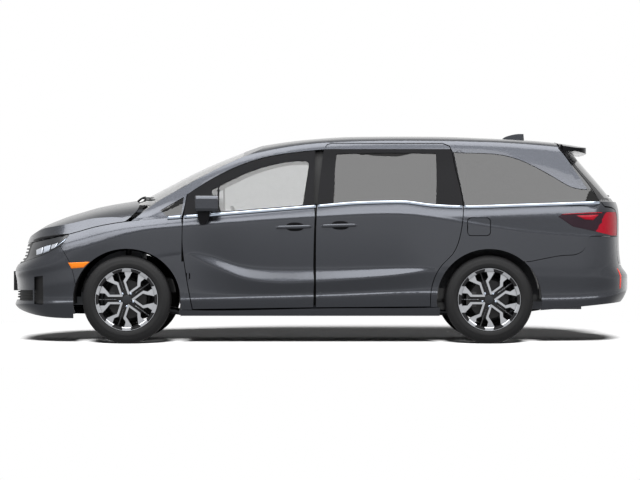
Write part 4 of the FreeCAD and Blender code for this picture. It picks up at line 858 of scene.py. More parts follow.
@dataclass
class Panels:
    """The finishes on the solids themselves; what no table names is grained black plastic."""

    builder: Builder

    PLAIN = ((Shelf.PAINT, ("front_bumper", "rear_bumper", "front_wings", "bonnet", "fuel_door", "roof_aerial")),
             (Shelf.BLACK_GLOSS, ("grille",)),
             (Shelf.GLASS_FRONT, ("door_glass_left", "door_glass_right", "windshield")),
             (Shelf.GLASS_REAR, ("tailgate_glass",)),
             (Shelf.SOFT_DASH, ("dashboard",)),
             (Shelf.LEATHER, ("steering_wheel",)),
             (Shelf.CHASSIS, ("front_frame", "rear_axle")),
             (Shelf.ENGINE, ("engine_block",)),
             (Shelf.STEEL, ("exhaust",)),
             (Shelf.IRON, ("knuckle_left", "knuckle_right")))

    DOOR = (Shelf.PAINT, Shelf.BLACK_GLOSS, Shelf.BLACK_GRAIN)
    SLIDER_FRAME_TOP = 1.616
    ZONED = ((("door_front_left", "door_front_right"), DOOR, door_zone),
             (("sliding_door_left", "sliding_door_right"), DOOR, partial(door_zone, top=SLIDER_FRAME_TOP)),
             (("body_side_left", "body_side_right"), (Shelf.PAINT, Shelf.BLACK_GRAIN, Shelf.BLACK_GLOSS), side_zone),
             (("fixed_side_glass",), (Shelf.GLASS_PRIVACY, Shelf.GLASS_REAR), pane_zone),
             (("tailgate",), (Shelf.PAINT, Shelf.BLACK_GLOSS), gate_zone),
             (("tail_lamps",), (Shelf.TAIL_SMOKE, Shelf.TAIL_RED), tail_zone),
             (("headlamps",), (Shelf.LAMP_DARK, Shelf.BLACK_GRAIN), lamp_zone),
             (("floor_pan",), (Shelf.CHASSIS, Shelf.CARPET), floor_zone),
             (("roof_panel",), (Shelf.PAINT, Shelf.ROOF_LINING), roof_zone),
             (("mirror_left", "mirror_right"), (Shelf.PAINT, Shelf.BLACK_GLOSS, Shelf.MIRROR), mirror_zone),
             (("rim_front_left", "rim_front_right", "rim_rear_left", "rim_rear_right"),
              (Shelf.WHEEL_BLACK, Shelf.MACHINED, Shelf.STEEL), rim_zone))

    def build(self) -> None:
        """Dresses every solid."""
        nodes = self.builder.frame["nodes"]
        for name in nodes:
            self.builder.paint(name, [Shelf.BLACK_GRAIN])
        for finish, names in self.PLAIN:
            for name in names:
                self.builder.paint(name, [finish])
        for names, finishes, rule in self.ZONED:
            for name in names:
                self.builder.paint(name, finishes, rule)


@dataclass
class Wheel:
    """One wheel: its tyre with the tread, the small parts on its face, its dust shield and its arch's lining."""

    builder: Builder
    end: str
    side: Side

    # Half a tyre's outline as (radius, side) pairs, from the bead over the shoulder to the middle of the tread

    TYRE = ((0.2435, -0.0965), (0.247, -0.1035), (0.2585, -0.1045), (0.2625, -0.1095), (0.275, -0.1135),
            (0.292, -0.1160), (0.302, -0.1166), (0.304, -0.1158), (0.320, -0.1148), (0.337, -0.1100),
            (0.3395, -0.1080), (0.350, -0.1020), (0.3585, -0.0955), (0.3625, -0.0900), (0.3645, -0.0800),
            (0.3655, -0.0700), (0.3655, -0.0640), (0.3655, -0.0630), (0.3655, -0.0500), (0.3655, -0.0490),
            (0.3655, -0.0260), (0.3655, -0.0250), (0.3655, -0.0130), (0.3655, -0.0120), (0.3655, 0.0))
    TYRE_STEPS = 300
    TREAD_BLOCKS = 75
    GROOVES = ((0.0565, 0.0070), (0.0190, 0.0065))
    GROOVE_DEPTH = 0.0068
    SLANT = 13.125
    CUT_SHARE = 0.25
    SHOULDER_CUT = 0.0045
    MIDDLE_CUT = 0.003
    SHARP_ANGLE = 38

    # Profiles as (radius, outwards) pairs

    NUT = ((0.0002, 0.016), (0.006, 0.016), (0.0098, 0.013), (0.0105, 0.006), (0.0125, 0.004), (0.0125, -0.001))
    CAP = ((0.0002, 0.0140), (0.012, 0.0136), (0.022, 0.0126), (0.029, 0.0112), (0.0325, 0.0116), (0.0345, 0.0105),
           (0.0350, 0.0070))
    HUB_FACE = 0.076
    NUT_CIRCLE = 0.058
    EDGE = ((0.2556, 0.1110), (0.2558, 0.1131), (0.2588, 0.1134), (0.2592, 0.1122), (0.2592, 0.1110))
    TIP = ((0.2300, 0.1060), (0.2300, 0.1078), (0.2360, 0.1102), (0.2560, 0.1126), (0.2560, 0.1110))
    TIP_HALF_ANGLE = 9.5
    RIB_HALF_WIDTH = 0.0026
    RIB_HALF_HEIGHT = 0.0065
    RIB_MIDDLE = 0.079
    SHIELD = ((0.060, -0.0780), (0.170, -0.0780), (0.196, -0.0700), (0.204, -0.0560), (0.2055, -0.0560),
              (0.1975, -0.0712), (0.171, -0.0800), (0.060, -0.0800))

    # The lining's section as (radius, y) pairs: a band over the wheel, with a wall on its inner side

    LINING = ((0.446, 0.918), (0.446, 0.660), (0.442, 0.655), (0.400, 0.655), (0.400, 0.651), (0.446, 0.651),
              (0.450, 0.655), (0.450, 0.918))
    LINING_LIFT = 0.004
    LINING_STEPS = 60

    @property
    def tag(self) -> str:
        """The end and the side, as the solids' names have them."""
        return "%s_%s" % (self.end, self.side.word)

    @property
    def body(self) -> str:
        """The body that turns with the wheel."""
        return "wheel_" + self.tag

    def on_face(self, x: Array, z: Array, s: Array) -> Array:
        """Turns places on the wheel's own plane to the car's frame.

        Args:
            x: rearwards from the axle.
            z: up from the axle.
            s: outwards from the tyre's middle plane.

        Returns:
            The points.
        """
        x, z, s = np.broadcast_arrays(x, z, s)
        return np.stack([AXLES[self.end] + x, self.side.value * (HALF_TRACK + s), AXLE_HEIGHT + z], axis=-1)

    def around(self, r: Array, t: Array, s: Array) -> Array:
        """The same for a radius r at an angle t: x = r * cos t, z = r * sin t."""
        return self.on_face(r * np.cos(t), r * np.sin(t), s)

    def turned(self, profile: Line, steps: int, base: float = 0.0, hub: Sequence[float] = (0.0, 0.0)) -> Part:
        """Turns a profile about the axle, or about another line beside it.

        Args:
            profile: (radius, outwards) pairs in metres.
            steps: points round.
            base: where the profile's outwards starts.
            hub: the line's x and z from the axle.

        Returns:
            The points and the faces.
        """
        r, s = np.array(profile).T
        points = self.around(r, turns(steps)[:, None], base + s) + (hub[0], 0.0, hub[1])
        return points, grid_faces(steps, len(profile), close_rows=True)

    def tyre(self) -> None:
        """Makes the tyre: radius = outline(s) less the grooves, turned round the axle.

        The four long grooves are dips in s, and the cross grooves dips in the angle that lean with s.
        """
        outline = np.array(self.TYRE)
        outline = np.concatenate([outline, outline[-2::-1] * (1, -1)])
        s = outline[:, 1]
        out = np.abs(s)
        groove = np.any([np.abs(out - middle) < half for middle, half in self.GROOVES], axis=0)
        t = turns(self.TYRE_STEPS)[:, None]
        cross = np.mod(t * self.TREAD_BLOCKS / (2 * np.pi) + self.SLANT * out, 1.0) < self.CUT_SHARE
        shoulder = (out > 0.064) & (out < 0.100) & (outline[:, 0] > 0.352)
        middle = out < 0.05
        r = (outline[:, 0] - self.GROOVE_DEPTH * groove - self.SHOULDER_CUT * (cross & shoulder)
             - self.MIDDLE_CUT * (cross & middle))
        faces = grid_faces(self.TYRE_STEPS, len(outline), close_rows=True)
        name = "tyre_" + self.tag
        item = self.builder.piece(name + "_rubber", (self.around(r, t, s), faces), Shelf.TYRE, self.body, "tyre")
        item.data.set_sharp_from_angle(angle=math.radians(self.SHARP_ANGLE))
        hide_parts(name)

    def nuts(self) -> None:
        """Makes five six-sided nuts on a circle round the hub, and the centre cap's domed face."""
        parts = []
        for k in range(5):
            turn = math.radians(126 + 72 * k)
            hub = (self.NUT_CIRCLE * math.cos(turn), self.NUT_CIRCLE * math.sin(turn))
            parts.append(self.turned(self.NUT, 6, self.HUB_FACE, hub))
        self.builder.piece("nuts_" + self.tag, merge(parts), Shelf.CHROME, self.body, "alloy", smooth=False)
        self.builder.piece("cap_" + self.tag, self.turned(self.CAP, 48, self.HUB_FACE), Shelf.LAMP_DARK, self.body,
                           "black_gloss")

    def edges(self) -> None:
        """Makes the rim's bright edge, ten machined tips where the arms meet it, and a rib down each pair of arms.

        A tip spans r across the lip, and an angle about its arm that narrows as 1 / r^2.
        """
        parts = [self.turned(self.EDGE, 144)]
        r, s = np.array(self.TIP).T
        half = math.radians(self.TIP_HALF_ANGLE) * (r[0] / r) ** 2
        for k in range(10):
            t = math.radians(18 + 36 * k) + half * np.linspace(-1, 1, 9)[:, None]
            parts.append((self.around(r, t, s), tube_faces(9, len(r))))
        self.builder.piece("rim_edge_" + self.tag, merge(parts), Shelf.MACHINED, self.body, "alloy", smooth=False)
        along = np.array([0.086, 0.090, 0.232, 0.236])[:, None]
        across = self.RIB_HALF_WIDTH * np.array([0.6, 1.0, 1.0, 0.6])[:, None] * np.cos(turns(8))
        out = self.RIB_MIDDLE + self.RIB_HALF_HEIGHT * np.sin(turns(8))
        ribs = []
        for t in np.radians(36 + 72 * np.arange(5)):
            points = self.on_face(along * np.cos(t) - across * np.sin(t), along * np.sin(t) + across * np.cos(t), out)
            ribs.append((points, tube_faces(4, 8)))
        self.builder.piece("spoke_ribs_" + self.tag, merge(ribs), Shelf.MACHINED, self.body, "alloy", smooth=False)

    def shield(self) -> None:
        """Makes the dished dust shield behind the brake disc."""
        body = "knuckle_" + self.side.word if self.end == "front" else "body"
        dish = self.turned(self.SHIELD, 72)
        self.builder.piece("dust_shield_" + self.tag, dish, Shelf.CHASSIS, body, "frame_black")

    def lining(self) -> None:
        """Makes the lining of the wheel's arch: its section carried over the wheel on an arc."""
        t = np.radians(np.linspace(2, 178, self.LINING_STEPS))[:, None]
        r, y = np.array(self.LINING).T
        points = self.around(r, t, y - HALF_TRACK) + (0.0, 0.0, self.LINING_LIFT)
        self.builder.piece("arch_lining_" + self.tag, (points, tube_faces(len(t), len(r))), Shelf.ARCH_LINING,
                           slot="frame_black")

    def build(self) -> None:
        """Dresses the wheel."""
        self.tyre()
        self.nuts()
        self.edges()
        self.shield()


@dataclass
class BeltTrim:
    """The bright strip along the beltline, in one length on each panel."""

    builder: Builder

    HALF_HEIGHT = 0.0125
    PROUD = 0.0055

    # Each length's name, the solids that it lies on, its two ends in metres, and whether it is on the door

    LENGTHS = (("strip_wing_", ("front_wings", "body_side_{}"), -1.262, -1.147, False),
               ("strip_door_", ("door_front_{}",), -1.124, -0.034, True),
               ("strip_slider_", ("sliding_door_{}",), -0.019, 1.177, False),
               ("strip_quarter_", ("body_side_{}",), 1.194, 2.318, False))

    def strip(self, name: str, nodes: Sequence[str], x0: float, x1: float, side: Side, body: str) -> None:
        """Makes one length: a low rounded section carried along the belt, on the panel's own surface.

        Args:
            name: the piece's name.
            nodes: the solids that it lies on.
            x0: its front end.
            x1: its rear end.
            side: the side of the car.
            body: the body that it moves with.
        """
        xs = np.linspace(x0, x1, max(6, int((x1 - x0) / 0.04)))
        zs = belt(xs)
        skins = [np.abs(self.builder.skin_y(nodes, xs, zs + step, side)) for step in (-0.016, 0.013)]
        path = np.stack([xs, np.maximum(*skins) * side.value, zs], axis=-1)
        t = turns(14)
        section = np.stack([fold(np.cos(t), 0.6), fold(np.sin(t), 0.8)], axis=-1)
        part = sweep(path, (0.0, 0.0, 1.0), side.out, section, self.HALF_HEIGHT, self.PROUD)
        self.builder.piece(name, part, Shelf.CHROME, body, "alloy")

    def build(self) -> None:
        """Lays the strips on both sides."""
        for side in Side:
            for name, nodes, x0, x1, on_door in self.LENGTHS:
                solids = tuple(node.format(side.word) for node in nodes)
                self.strip(name + side.word, solids, x0, x1, side, side.door if on_door else "body")


@dataclass
class Handles:
    """Door handles: a bar, and behind it a dark gloss oval on the panel that is painted shade of the recess."""

    builder: Builder

    HALF_HEIGHT = 0.0145
    HALF_DEPTH = 0.010
    GAP = 0.006
    BOW = 0.016
    RISE = 0.008
    # Half sizes and lift of the dark oval that is painted shade of the handle's recess
    CUP = (0.075, 0.036)
    CUP_LIFT = 0.0012

    # Each handle's end, its door, its two ends along the car and its height in metres

    PLACES = (("front", "door_front_", -0.367, -0.066, 0.961), ("rear", "sliding_door_", 0.008, 0.307, 0.973))

    def handle(self, end: str, node: str, x0: float, x1: float, z: float, side: Side, body: str) -> None:
        """Makes one handle: an oval section along a bow that stands off the panel between its ends.

        Args:
            end: front or rear.
            node: the door's solid.
            x0: its front end.
            x1: its rear end.
            z: its height.
            side: the side of the car.
            body: the body that it moves with.
        """
        u = np.linspace(0, 1, 33)
        xs, zs = x0 + (x1 - x0) * u, z + self.RISE * u
        skin = np.abs(self.builder.skin_y((node,), xs, zs, side))
        bow = 1 - np.abs(2 * u - 1) ** 8
        path = np.stack([xs, side.value * (skin + self.GAP + self.BOW * bow), zs], axis=-1)
        t = turns(20)
        section = np.stack([fold(np.cos(t), 0.7), fold(np.sin(t), 0.8)], axis=-1)
        taper = (1 - np.abs(2 * u - 1) ** 10) ** 0.5
        part = sweep(path, (0.0, 0.0, 1.0), side.out, section, self.HALF_HEIGHT * taper,
                     self.HALF_DEPTH * np.maximum(taper, 0.35))
        self.builder.piece("handle_%s_%s" % (end, side.word), part, Shelf.PAINT, body, "body_paint")
        # A dark oval behind the bar: painted shade of its recess
        self.cup("cup_%s_%s" % (end, side.word), node, (x0 + x1) / 2 + 0.01, z + 0.006, side, body)

    def cup(self, name: str, node: str, x: float, z: float, side: Side, body: str) -> None:
        """Makes the painted shade behind the bar: a thin dark oval that lies on the panel where the recess is.

        Args:
            name: the piece's name.
            node: the door's solid.
            x: its middle along the car.
            z: its middle height.
            side: the side of the car.
            body: the body that it moves with.
        """
        rings = np.linspace(0, 1, 7)[:, None]
        t = turns(40)[None, :]
        xs = x + self.CUP[0] * rings * fold(np.cos(t), 0.85)
        zs = z + self.CUP[1] * rings * fold(np.sin(t), 0.85)
        lift = self.CUP_LIFT * (1 - rings ** 6) + 0.0004
        points = np.stack([xs, self.builder.skin_y((node,), xs, zs, side) + side.value * lift, zs], axis=-1)
        # Gloss black: painted shade of the recess behind the bar
        self.builder.piece(name, (points, grid_faces(7, 40, close_columns=True)), Shelf.BLACK_GLOSS, body,
                           "black_gloss")

    def build(self) -> None:
        """Hangs the four handles."""
        for side in Side:
            for end, door, x0, x1, z in self.PLACES:
                body = side.door if end == "front" else "body"
                self.handle(end, door + side.word, x0, x1, z, side, body)


@dataclass(frozen=True)
class Plate:
    """A thin plate on the body's own surface, between two lines of (x, z) points in millimetres."""

    name: str
    solids: tuple[str, ...]
    low: Line
    high: Line
    finish: Finish
    slot: str
    lift: float = 0.002
    body: str = "body"


@dataclass
class Lenses:
    """Lenses, reflectors and bright edges that lie on the body's own surface."""

    builder: Builder

    LAMP = ("headlamps",)
    TAIL = ("tail_lamps",)
    PLATES = (
        Plate("lamp_cell", LAMP, ((-2362, 730), (-2310, 742)), ((-2366, 776), (-2306, 800)), Shelf.LAMP_CHROME,
              "lamp_clear", 0.005),
        Plate("lamp_cell_two", LAMP, ((-2300, 748), (-2246, 766)), ((-2296, 800), (-2236, 818)), Shelf.LAMP_WHITE,
              "lamp_clear", 0.005),
        Plate("lamp_cell_three", LAMP, ((-2236, 776), (-2196, 792)), ((-2226, 820), (-2176, 834)), Shelf.LAMP_CHROME,
              "lamp_clear", 0.005),
        Plate("lamp_edge", LAMP, ((-2190, 800), (-2140, 836), (-2096, 872)),
              ((-2194, 806), (-2144, 842), (-2100, 878)), Shelf.CHROME, "alloy"),
        Plate("lamp_brow", ("bonnet", "headlamps"), ((-2404, 846), (-2300, 862), (-2150, 882), (-2080, 905)),
              ((-2398, 862), (-2330, 884), (-2180, 904), (-2076, 912)), Shelf.BLACK_GLOSS, "black_gloss", 0.003,
              "bonnet"),
        Plate("marker", ("front_bumper", "front_wings"), ((-2058, 622), (-1958, 630)), ((-2086, 670), (-1905, 678)),
              Shelf.AMBER, "lamp_red", 0.003),
        Plate("tail_edge", TAIL, ((1999, 1068), (2180, 1076), (2340, 1082)),
              ((2001, 1076), (2180, 1084), (2340, 1090)), Shelf.TAIL_RED, "lamp_red"),
        Plate("tail_bar", TAIL, ((2190, 1028), (2262, 1022)), ((2120, 1060), (2308, 1068)), Shelf.TAIL_RED,
              "lamp_red", 0.004),
    )
    STEPS = 24
    ROWS = 6
    SKIN = 0.0006
    BACKING_CENTRE = (2.262, 0.868, 0.892)
    BACKING_HALF = (0.075, 0.004, 0.034)
    REFLECTOR_CENTRE = (0.735, 0.536)
    REFLECTOR_HALF = (0.011, 0.088)

    def even(self, line: Line) -> Array:
        """Gives a line's points in metres, at even shares of its length.

        Args:
            line: its (x, z) corners in millimetres.

        Returns:
            The points.
        """
        x, z = np.array(line, float).T * MM
        reach = np.concatenate([[0.0], np.cumsum(np.hypot(np.diff(x), np.diff(z)))])
        u = np.linspace(0, 1, self.STEPS)
        return np.stack([np.interp(u, reach / reach[-1], x), np.interp(u, reach / reach[-1], z)], axis=-1)

    def slab(self, plate: Plate, side: Side) -> Part:
        """Makes a thin closed plate: place = low + (high - low) * t, carried to the surface below it.

        It is lifted by lift * (1 - |2t - 1|^8) * (1 - |2u - 1|^16), so its rim is rounded.

        Args:
            plate: the plate.
            side: the side of the car.

        Returns:
            The points and the faces.
        """
        steps, rows = self.STEPS, self.ROWS
        t = np.linspace(0, 1, rows)[:, None, None]
        flat = self.even(plate.low)[None] * (1 - t) + self.even(plate.high)[None] * t
        x, z = flat[..., 0], flat[..., 1]
        skin = self.builder.skin_y(plate.solids, x, z, side)
        u = np.linspace(0, 1, steps)[None]
        swell = plate.lift * (1 - np.abs(2 * t[..., 0] - 1) ** 8) * (1 - np.abs(2 * u - 1) ** 16)
        outer = np.stack([x, skin + side.value * (swell + self.SKIN), z], axis=-1)
        inner = np.stack([x, skin - side.value * self.SKIN, z], axis=-1)
        faces = grid_faces(2 * rows, steps, close_rows=True).tolist()
        for column in (0, steps - 1):
            for r in range(rows - 1):
                corners = (r, r + 1, 2 * rows - 2 - r, 2 * rows - 1 - r)
                faces.append([row * steps + column for row in corners])
        return np.concatenate([outer, inner[::-1]]), faces

    def backing(self, side: Side) -> None:
        """Closes the joint under a tail lamp with a black plate behind the panels: a flat box in the wall's depth.

        Args:
            side: the side of the car.
        """
        x, y, z = self.BACKING_CENTRE
        self.builder.piece("lamp_backing_" + side.word, block((x, side.value * y, z), self.BACKING_HALF, 0.12),
                           Shelf.BLACK_GRAIN)

    def reflector(self, side: Side) -> None:
        """Sets an upright red reflector at a rear corner: (y, z) = squared round, x = bumper + lift.

        Args:
            side: the side of the car.
        """
        t = turns(36)[None, :]
        r = np.linspace(0.02, 1, 7)[:, None]
        y = side.value * (self.REFLECTOR_CENTRE[0] + self.REFLECTOR_HALF[0] * r * fold(np.cos(t), 0.5))
        z = self.REFLECTOR_CENTRE[1] + self.REFLECTOR_HALF[1] * r * fold(np.sin(t), 0.5)
        hits = [self.builder.touch(("rear_bumper",), (BEHIND, b, c), (-1, 0, 0), (2.5, b, c)).x
                for b, c in zip(y.ravel(), z.ravel())]
        x = np.array(hits).reshape(y.shape)
        outer = np.stack([x + 0.0045 * (1 - r ** 8) + 0.0004, y, z], axis=-1)
        inner = np.stack([x - 0.001, y, z], axis=-1)
        faces = grid_faces(14, 36, close_columns=True, close_rows=True)
        self.builder.piece("reflector_" + side.word, (np.concatenate([outer, inner[::-1]]), faces), Shelf.REFLECTOR,
                           slot="lamp_red")

    def build(self) -> None:
        """Lays them all on both sides."""
        for plate in self.PLATES:
            for side in Side:
                self.builder.piece("%s_%s" % (plate.name, side.word), self.slab(plate, side), plate.finish,
                                   plate.body, plate.slot)
        for make in (self.backing, self.reflector):
            for side in Side:
                make(side)


@dataclass
class Wipers:
    """The wipers: an arm from its pivot to a blade that lies along the glass."""

    builder: Builder

    HALF_WIDTH = 0.011
    HALF_HEIGHT = 0.007
    BLADES = (("left", -0.66, -0.03), ("right", -0.02, 0.56))
    BLADE_BACK = 0.075
    LIFT = 0.013
    ARM_LIFT = 0.012
    ARM_REACH = 0.28
    ARM_BOW = 0.008
    GLASS_SEARCH = (-1.80, -1.10, 0.006)
    REAR = ((-0.06, 1.232), (0.34, 1.252))

    def blade(self, name: str, path: Array, body: str = "body") -> None:
        """Makes one blade or arm: a flat section carried along a path, thin at its ends.

        Args:
            name: the piece's name.
            path: its line in metres.
            body: the body that it moves with.
        """
        up = (0.0, 0.0, 1.0)
        across = np.cross(np.gradient(path, axis=0), up)
        across /= np.linalg.norm(across, axis=1)[:, None]
        t = turns(12)
        section = np.stack([self.HALF_WIDTH * np.cos(t), self.HALF_HEIGHT * np.sin(t)], axis=-1)
        thin = 1 - 0.7 * np.abs(2 * np.linspace(0, 1, len(path)) - 1) ** 4
        self.builder.piece(name, sweep(path, across, up, section, thin, thin), Shelf.BLACK_GRAIN, body)

    def foot(self, y: float) -> float:
        """Finds where the windscreen starts at one y.

        Args:
            y: the place across the car.

        Returns:
            The x of its front edge.
        """
        tree = self.builder.tree("windshield")
        for x in np.arange(*self.GLASS_SEARCH):
            if tree.ray_cast(Vector((x, y, ABOVE)), Vector((0, 0, -1)))[0] is not None:
                return float(x)
        return -1.5

    def on_glass(self, y: float, back: float, lift: float) -> tuple[float, float, float]:
        """Gives a place a little above the windscreen, behind its front edge.

        Args:
            y: the place across the car.
            back: how far behind the edge.
            lift: how far above the glass.

        Returns:
            The place.
        """
        x = self.foot(y) + back
        spot = self.builder.touch(("windshield",), (x, y, ABOVE), (0, 0, -1), (x, y, 1.1))
        return (x, y, spot.z + lift)

    def build(self) -> None:
        """Lays the two front blades with their arms, and the one at the back."""
        reach = np.linspace(0, 1, 15)[:, None]
        for name, y0, y1 in self.BLADES:
            path = np.array([self.on_glass(y, self.BLADE_BACK, self.LIFT) for y in np.linspace(y0, y1, 25)])
            self.blade("wiper_blade_" + name, path)
            pivot = np.array(self.on_glass((y0 + y1) / 2 + self.ARM_REACH, self.ARM_LIFT, self.ARM_LIFT))
            middle = path[12] + (0, 0, self.ARM_LIFT)
            arm = pivot * (1 - reach) + middle * reach + (0, 0, self.ARM_BOW) * np.sin(np.pi * reach)
            self.blade("wiper_arm_" + name, arm)
        spots = [self.builder.touch(("tailgate_glass", "tailgate"), (BEHIND, y, z), (-1, 0, 0), (2.45, y, z))
                 for y, z in np.linspace(*self.REAR, 17)]
        self.blade("wiper_rear", np.array([(s.x + self.ARM_LIFT, s.y, s.z) for s in spots]), "tailgate")


@dataclass
class Cabin:
    """What shows of the dashboard through the glass: its screen and its vents."""

    builder: Builder

    SCREEN_HEIGHT = 0.93
    SCREEN_HALF = (0.008, 0.115, 0.065)
    SLAT_HALF = (0.006, 0.052, 0.0035)
    SLAT_LOW = 0.90
    SLAT_STEP = 0.018
    VENTS = (-0.62, -0.19, 0.19, 0.62)
    SLATS = 4

    def face(self, y: float, z: float) -> float:
        """Finds the dashboard's rear face.

        Args:
            y: the place across the car.
            z: the height.

        Returns:
            Its x.
        """
        return self.builder.touch(("dashboard",), (0.4, y, z), (-1, 0, 0), (-0.8, y, z)).x

    def build(self) -> None:
        """Puts in the screen, and the vents with their slats."""
        z = self.SCREEN_HEIGHT
        screen = block((self.face(0.0, z) + self.SCREEN_HALF[0], 0.0, z), self.SCREEN_HALF)
        self.builder.piece("dash_screen", screen, Shelf.SCREEN, slot="black_gloss")
        slats = []
        for y in self.VENTS:
            for k in range(self.SLATS):
                z = self.SLAT_LOW + self.SLAT_STEP * k
                slats.append(block((self.face(y, z) + 0.003, y, z), self.SLAT_HALF, 0.35, 12.0, 16))
        self.builder.piece("dash_vents", merge(slats), Shelf.LAMP_DARK)


@dataclass
class Seats:
    """Leather seats: each pad is swollen by cloth simulation, and gets its sewn channels after that."""

    builder: Builder

    VOXEL = 0.014
    MOST_SWELL = 0.024
    FRAMES = 20
    CLOTH = {"vertex_group_mass": "seat", "use_pressure": True, "uniform_pressure_force": 4.0, "quality": 5,
             "tension_stiffness": 12.0, "compression_stiffness": 12.0, "bending_stiffness": 0.8}
    CHANNEL_WIDTH = 0.009
    CHANNEL_DEPTH = 0.009

    # Half sizes of the pads in metres, lying flat, and the places of the seats

    CUSHION = (0.235, 0.232, 0.052)
    BACK = (0.300, 0.232, 0.048)
    HEAD = (0.072, 0.110, 0.036)
    BENCH = (0.235, 0.560, 0.052)
    BENCH_BACK = (0.262, 0.560, 0.046)
    ROWS = (("front_seats", -0.33, 0.4), ("second_row_seats", 0.62, 0.47))
    BENCH_X = 1.48
    CUSHION_Z = 0.662
    PLINTH_Z = 0.50
    BACK_STEP = 0.315
    BACK_Z = 1.022
    BENCH_BACK_Z = 0.985
    HEAD_STEP = 0.405
    HEAD_Z = 1.420
    ROD_STEP = 0.395
    ROD_Z = 1.345
    ROD_GAPS = (-0.05, 0.05)
    ROD = (0.006, 0.006, 0.03)
    PLINTH = (0.235, 0.215, 0.098)
    BENCH_PLINTH = (0.235, 0.54, 0.098)
    LEAN = math.degrees(math.atan2(150.0, 640.0))
    BENCH_LEAN = math.degrees(math.atan2(150.0, 560.0))
    HEAD_LEAN = 8.0

    def places(self, mesh: bpy.types.Mesh) -> Array:
        """Reads a mesh's points.

        Args:
            mesh: the mesh.

        Returns:
            Its points, one to a row.
        """
        flat = np.empty(len(mesh.vertices) * 3)
        mesh.vertices.foreach_get("co", flat)
        return flat.reshape(-1, 3)

    def blank(self, half: Sequence[float], bolster: float) -> Part:
        """Makes the pad's starting form: a squared round slab, z raised by bolster * (|y| / half y)^4 on top.

        Args:
            half: half its length, width and thickness, in metres.
            bolster: how far the sides rise.

        Returns:
            The points and the faces.
        """
        x, y, z = pillow(half, (0.35, 0.3, 0.55), 40, 96, 0.02)
        z = z + np.where(z > 0, bolster * (np.abs(y) / half[1]) ** 4, 0.0)
        return np.stack([x, y, z], axis=-1), tube_faces(40, 96)

    def swell(self, half: Sequence[float], bolster: float) -> Part:
        """Remeshes a blank, swells it by Cloth with pressure, and caps how far each point moved.

        Args:
            half: the blank's half sizes.
            bolster: how far its sides rise.

        Returns:
            The swollen pad's points and faces.
        """
        item = new_object("pad", *self.blank(half, bolster))
        remesh = item.modifiers.new("remesh", "REMESH")
        remesh.mode = "VOXEL"
        remesh.voxel_size = self.VOXEL
        fine = bpy.data.meshes.new_from_object(item.evaluated_get(bpy.context.evaluated_depsgraph_get()))
        item.modifiers.clear()
        item.data = fine
        start = self.places(fine)
        held = [int(i) for i in np.nonzero(start[:, 2] < -0.8 * half[2])[0]]
        item.vertex_groups.new(name="seat").add(held, 1.0, "REPLACE")
        cloth = item.modifiers.new("cloth", "CLOTH")
        for key, value in self.CLOTH.items():
            setattr(cloth.settings, key, value)
        cloth.settings.effector_weights.gravity = 0.0
        cloth.point_cache.frame_start = 1
        cloth.point_cache.frame_end = self.FRAMES
        scene = bpy.context.scene
        for frame in range(1, self.FRAMES + 1):
            scene.frame_set(frame)
        done = bpy.data.meshes.new_from_object(item.evaluated_get(bpy.context.evaluated_depsgraph_get()))
        move = self.places(done) - start
        size = np.linalg.norm(move, axis=1)[:, None]
        points = start + move * np.minimum(1.0, self.MOST_SWELL / np.maximum(size, 1e-9))
        cells = [list(p.vertices) for p in fine.polygons]
        bpy.data.objects.remove(item)
        scene.frame_set(1)
        log.info("swelled a pad of %d faces, mean move %.1f mm", len(cells), 1000 * float(size.mean()))
        return points, cells

    def pad(self, half: Sequence[float], bolster: float, lane: float, rows: Sequence[float]) -> Part:
        """Makes a pad with its sewn channels: z falls by depth * exp(-(d / width)^2) at the distance d from each.

        Args:
            half: its half sizes.
            bolster: how far its sides rise.
            lane: the two lengthwise channels, as a share of half the width.
            rows: the cross channels between them, as shares of half the length.

        Returns:
            The points and the faces.
        """
        points, faces = self.swell(half, bolster)
        x, y, z = points.T
        dip = np.exp(-((np.abs(y) - lane * half[1]) / self.CHANNEL_WIDTH) ** 2)
        between = (np.abs(y) < lane * half[1]).astype(float)
        for row in rows:
            dip = np.maximum(dip, between * np.exp(-((x - row * half[0]) / self.CHANNEL_WIDTH) ** 2))
        top = np.clip(z / half[2], 0, 1) ** 2
        return np.stack([x, y, z - self.CHANNEL_DEPTH * dip * top], axis=-1), faces

    def place(self, pad: Part, centre: Sequence[float], degrees: float = 0.0, upright: bool = False) -> Part:
        """Moves a pad to its seat.

        Args:
            pad: its points and faces.
            centre: where its middle goes, in metres.
            degrees: its lean to the rear.
            upright: whether it stands, with its soft side forward.

        Returns:
            The points in the car's frame, and the faces.
        """
        x, y, z = pad[0].T
        ahead, up = (-z, x) if upright else (x, z)
        return lean(ahead, y, up, degrees) + np.asarray(centre, float), pad[1]

    def dress(self, node: str, parts: Sequence[Part]) -> None:
        """Puts the pads in as one piece that stands for a solid, with one subdivision.

        Args:
            node: the solid.
            parts: the pads.
        """
        item = self.builder.piece(node + "_pads", merge(parts), Shelf.LEATHER, slot="seat")
        finer = item.modifiers.new("finer", "SUBSURF")
        finer.levels = 1
        finer.render_levels = 1
        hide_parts(node)

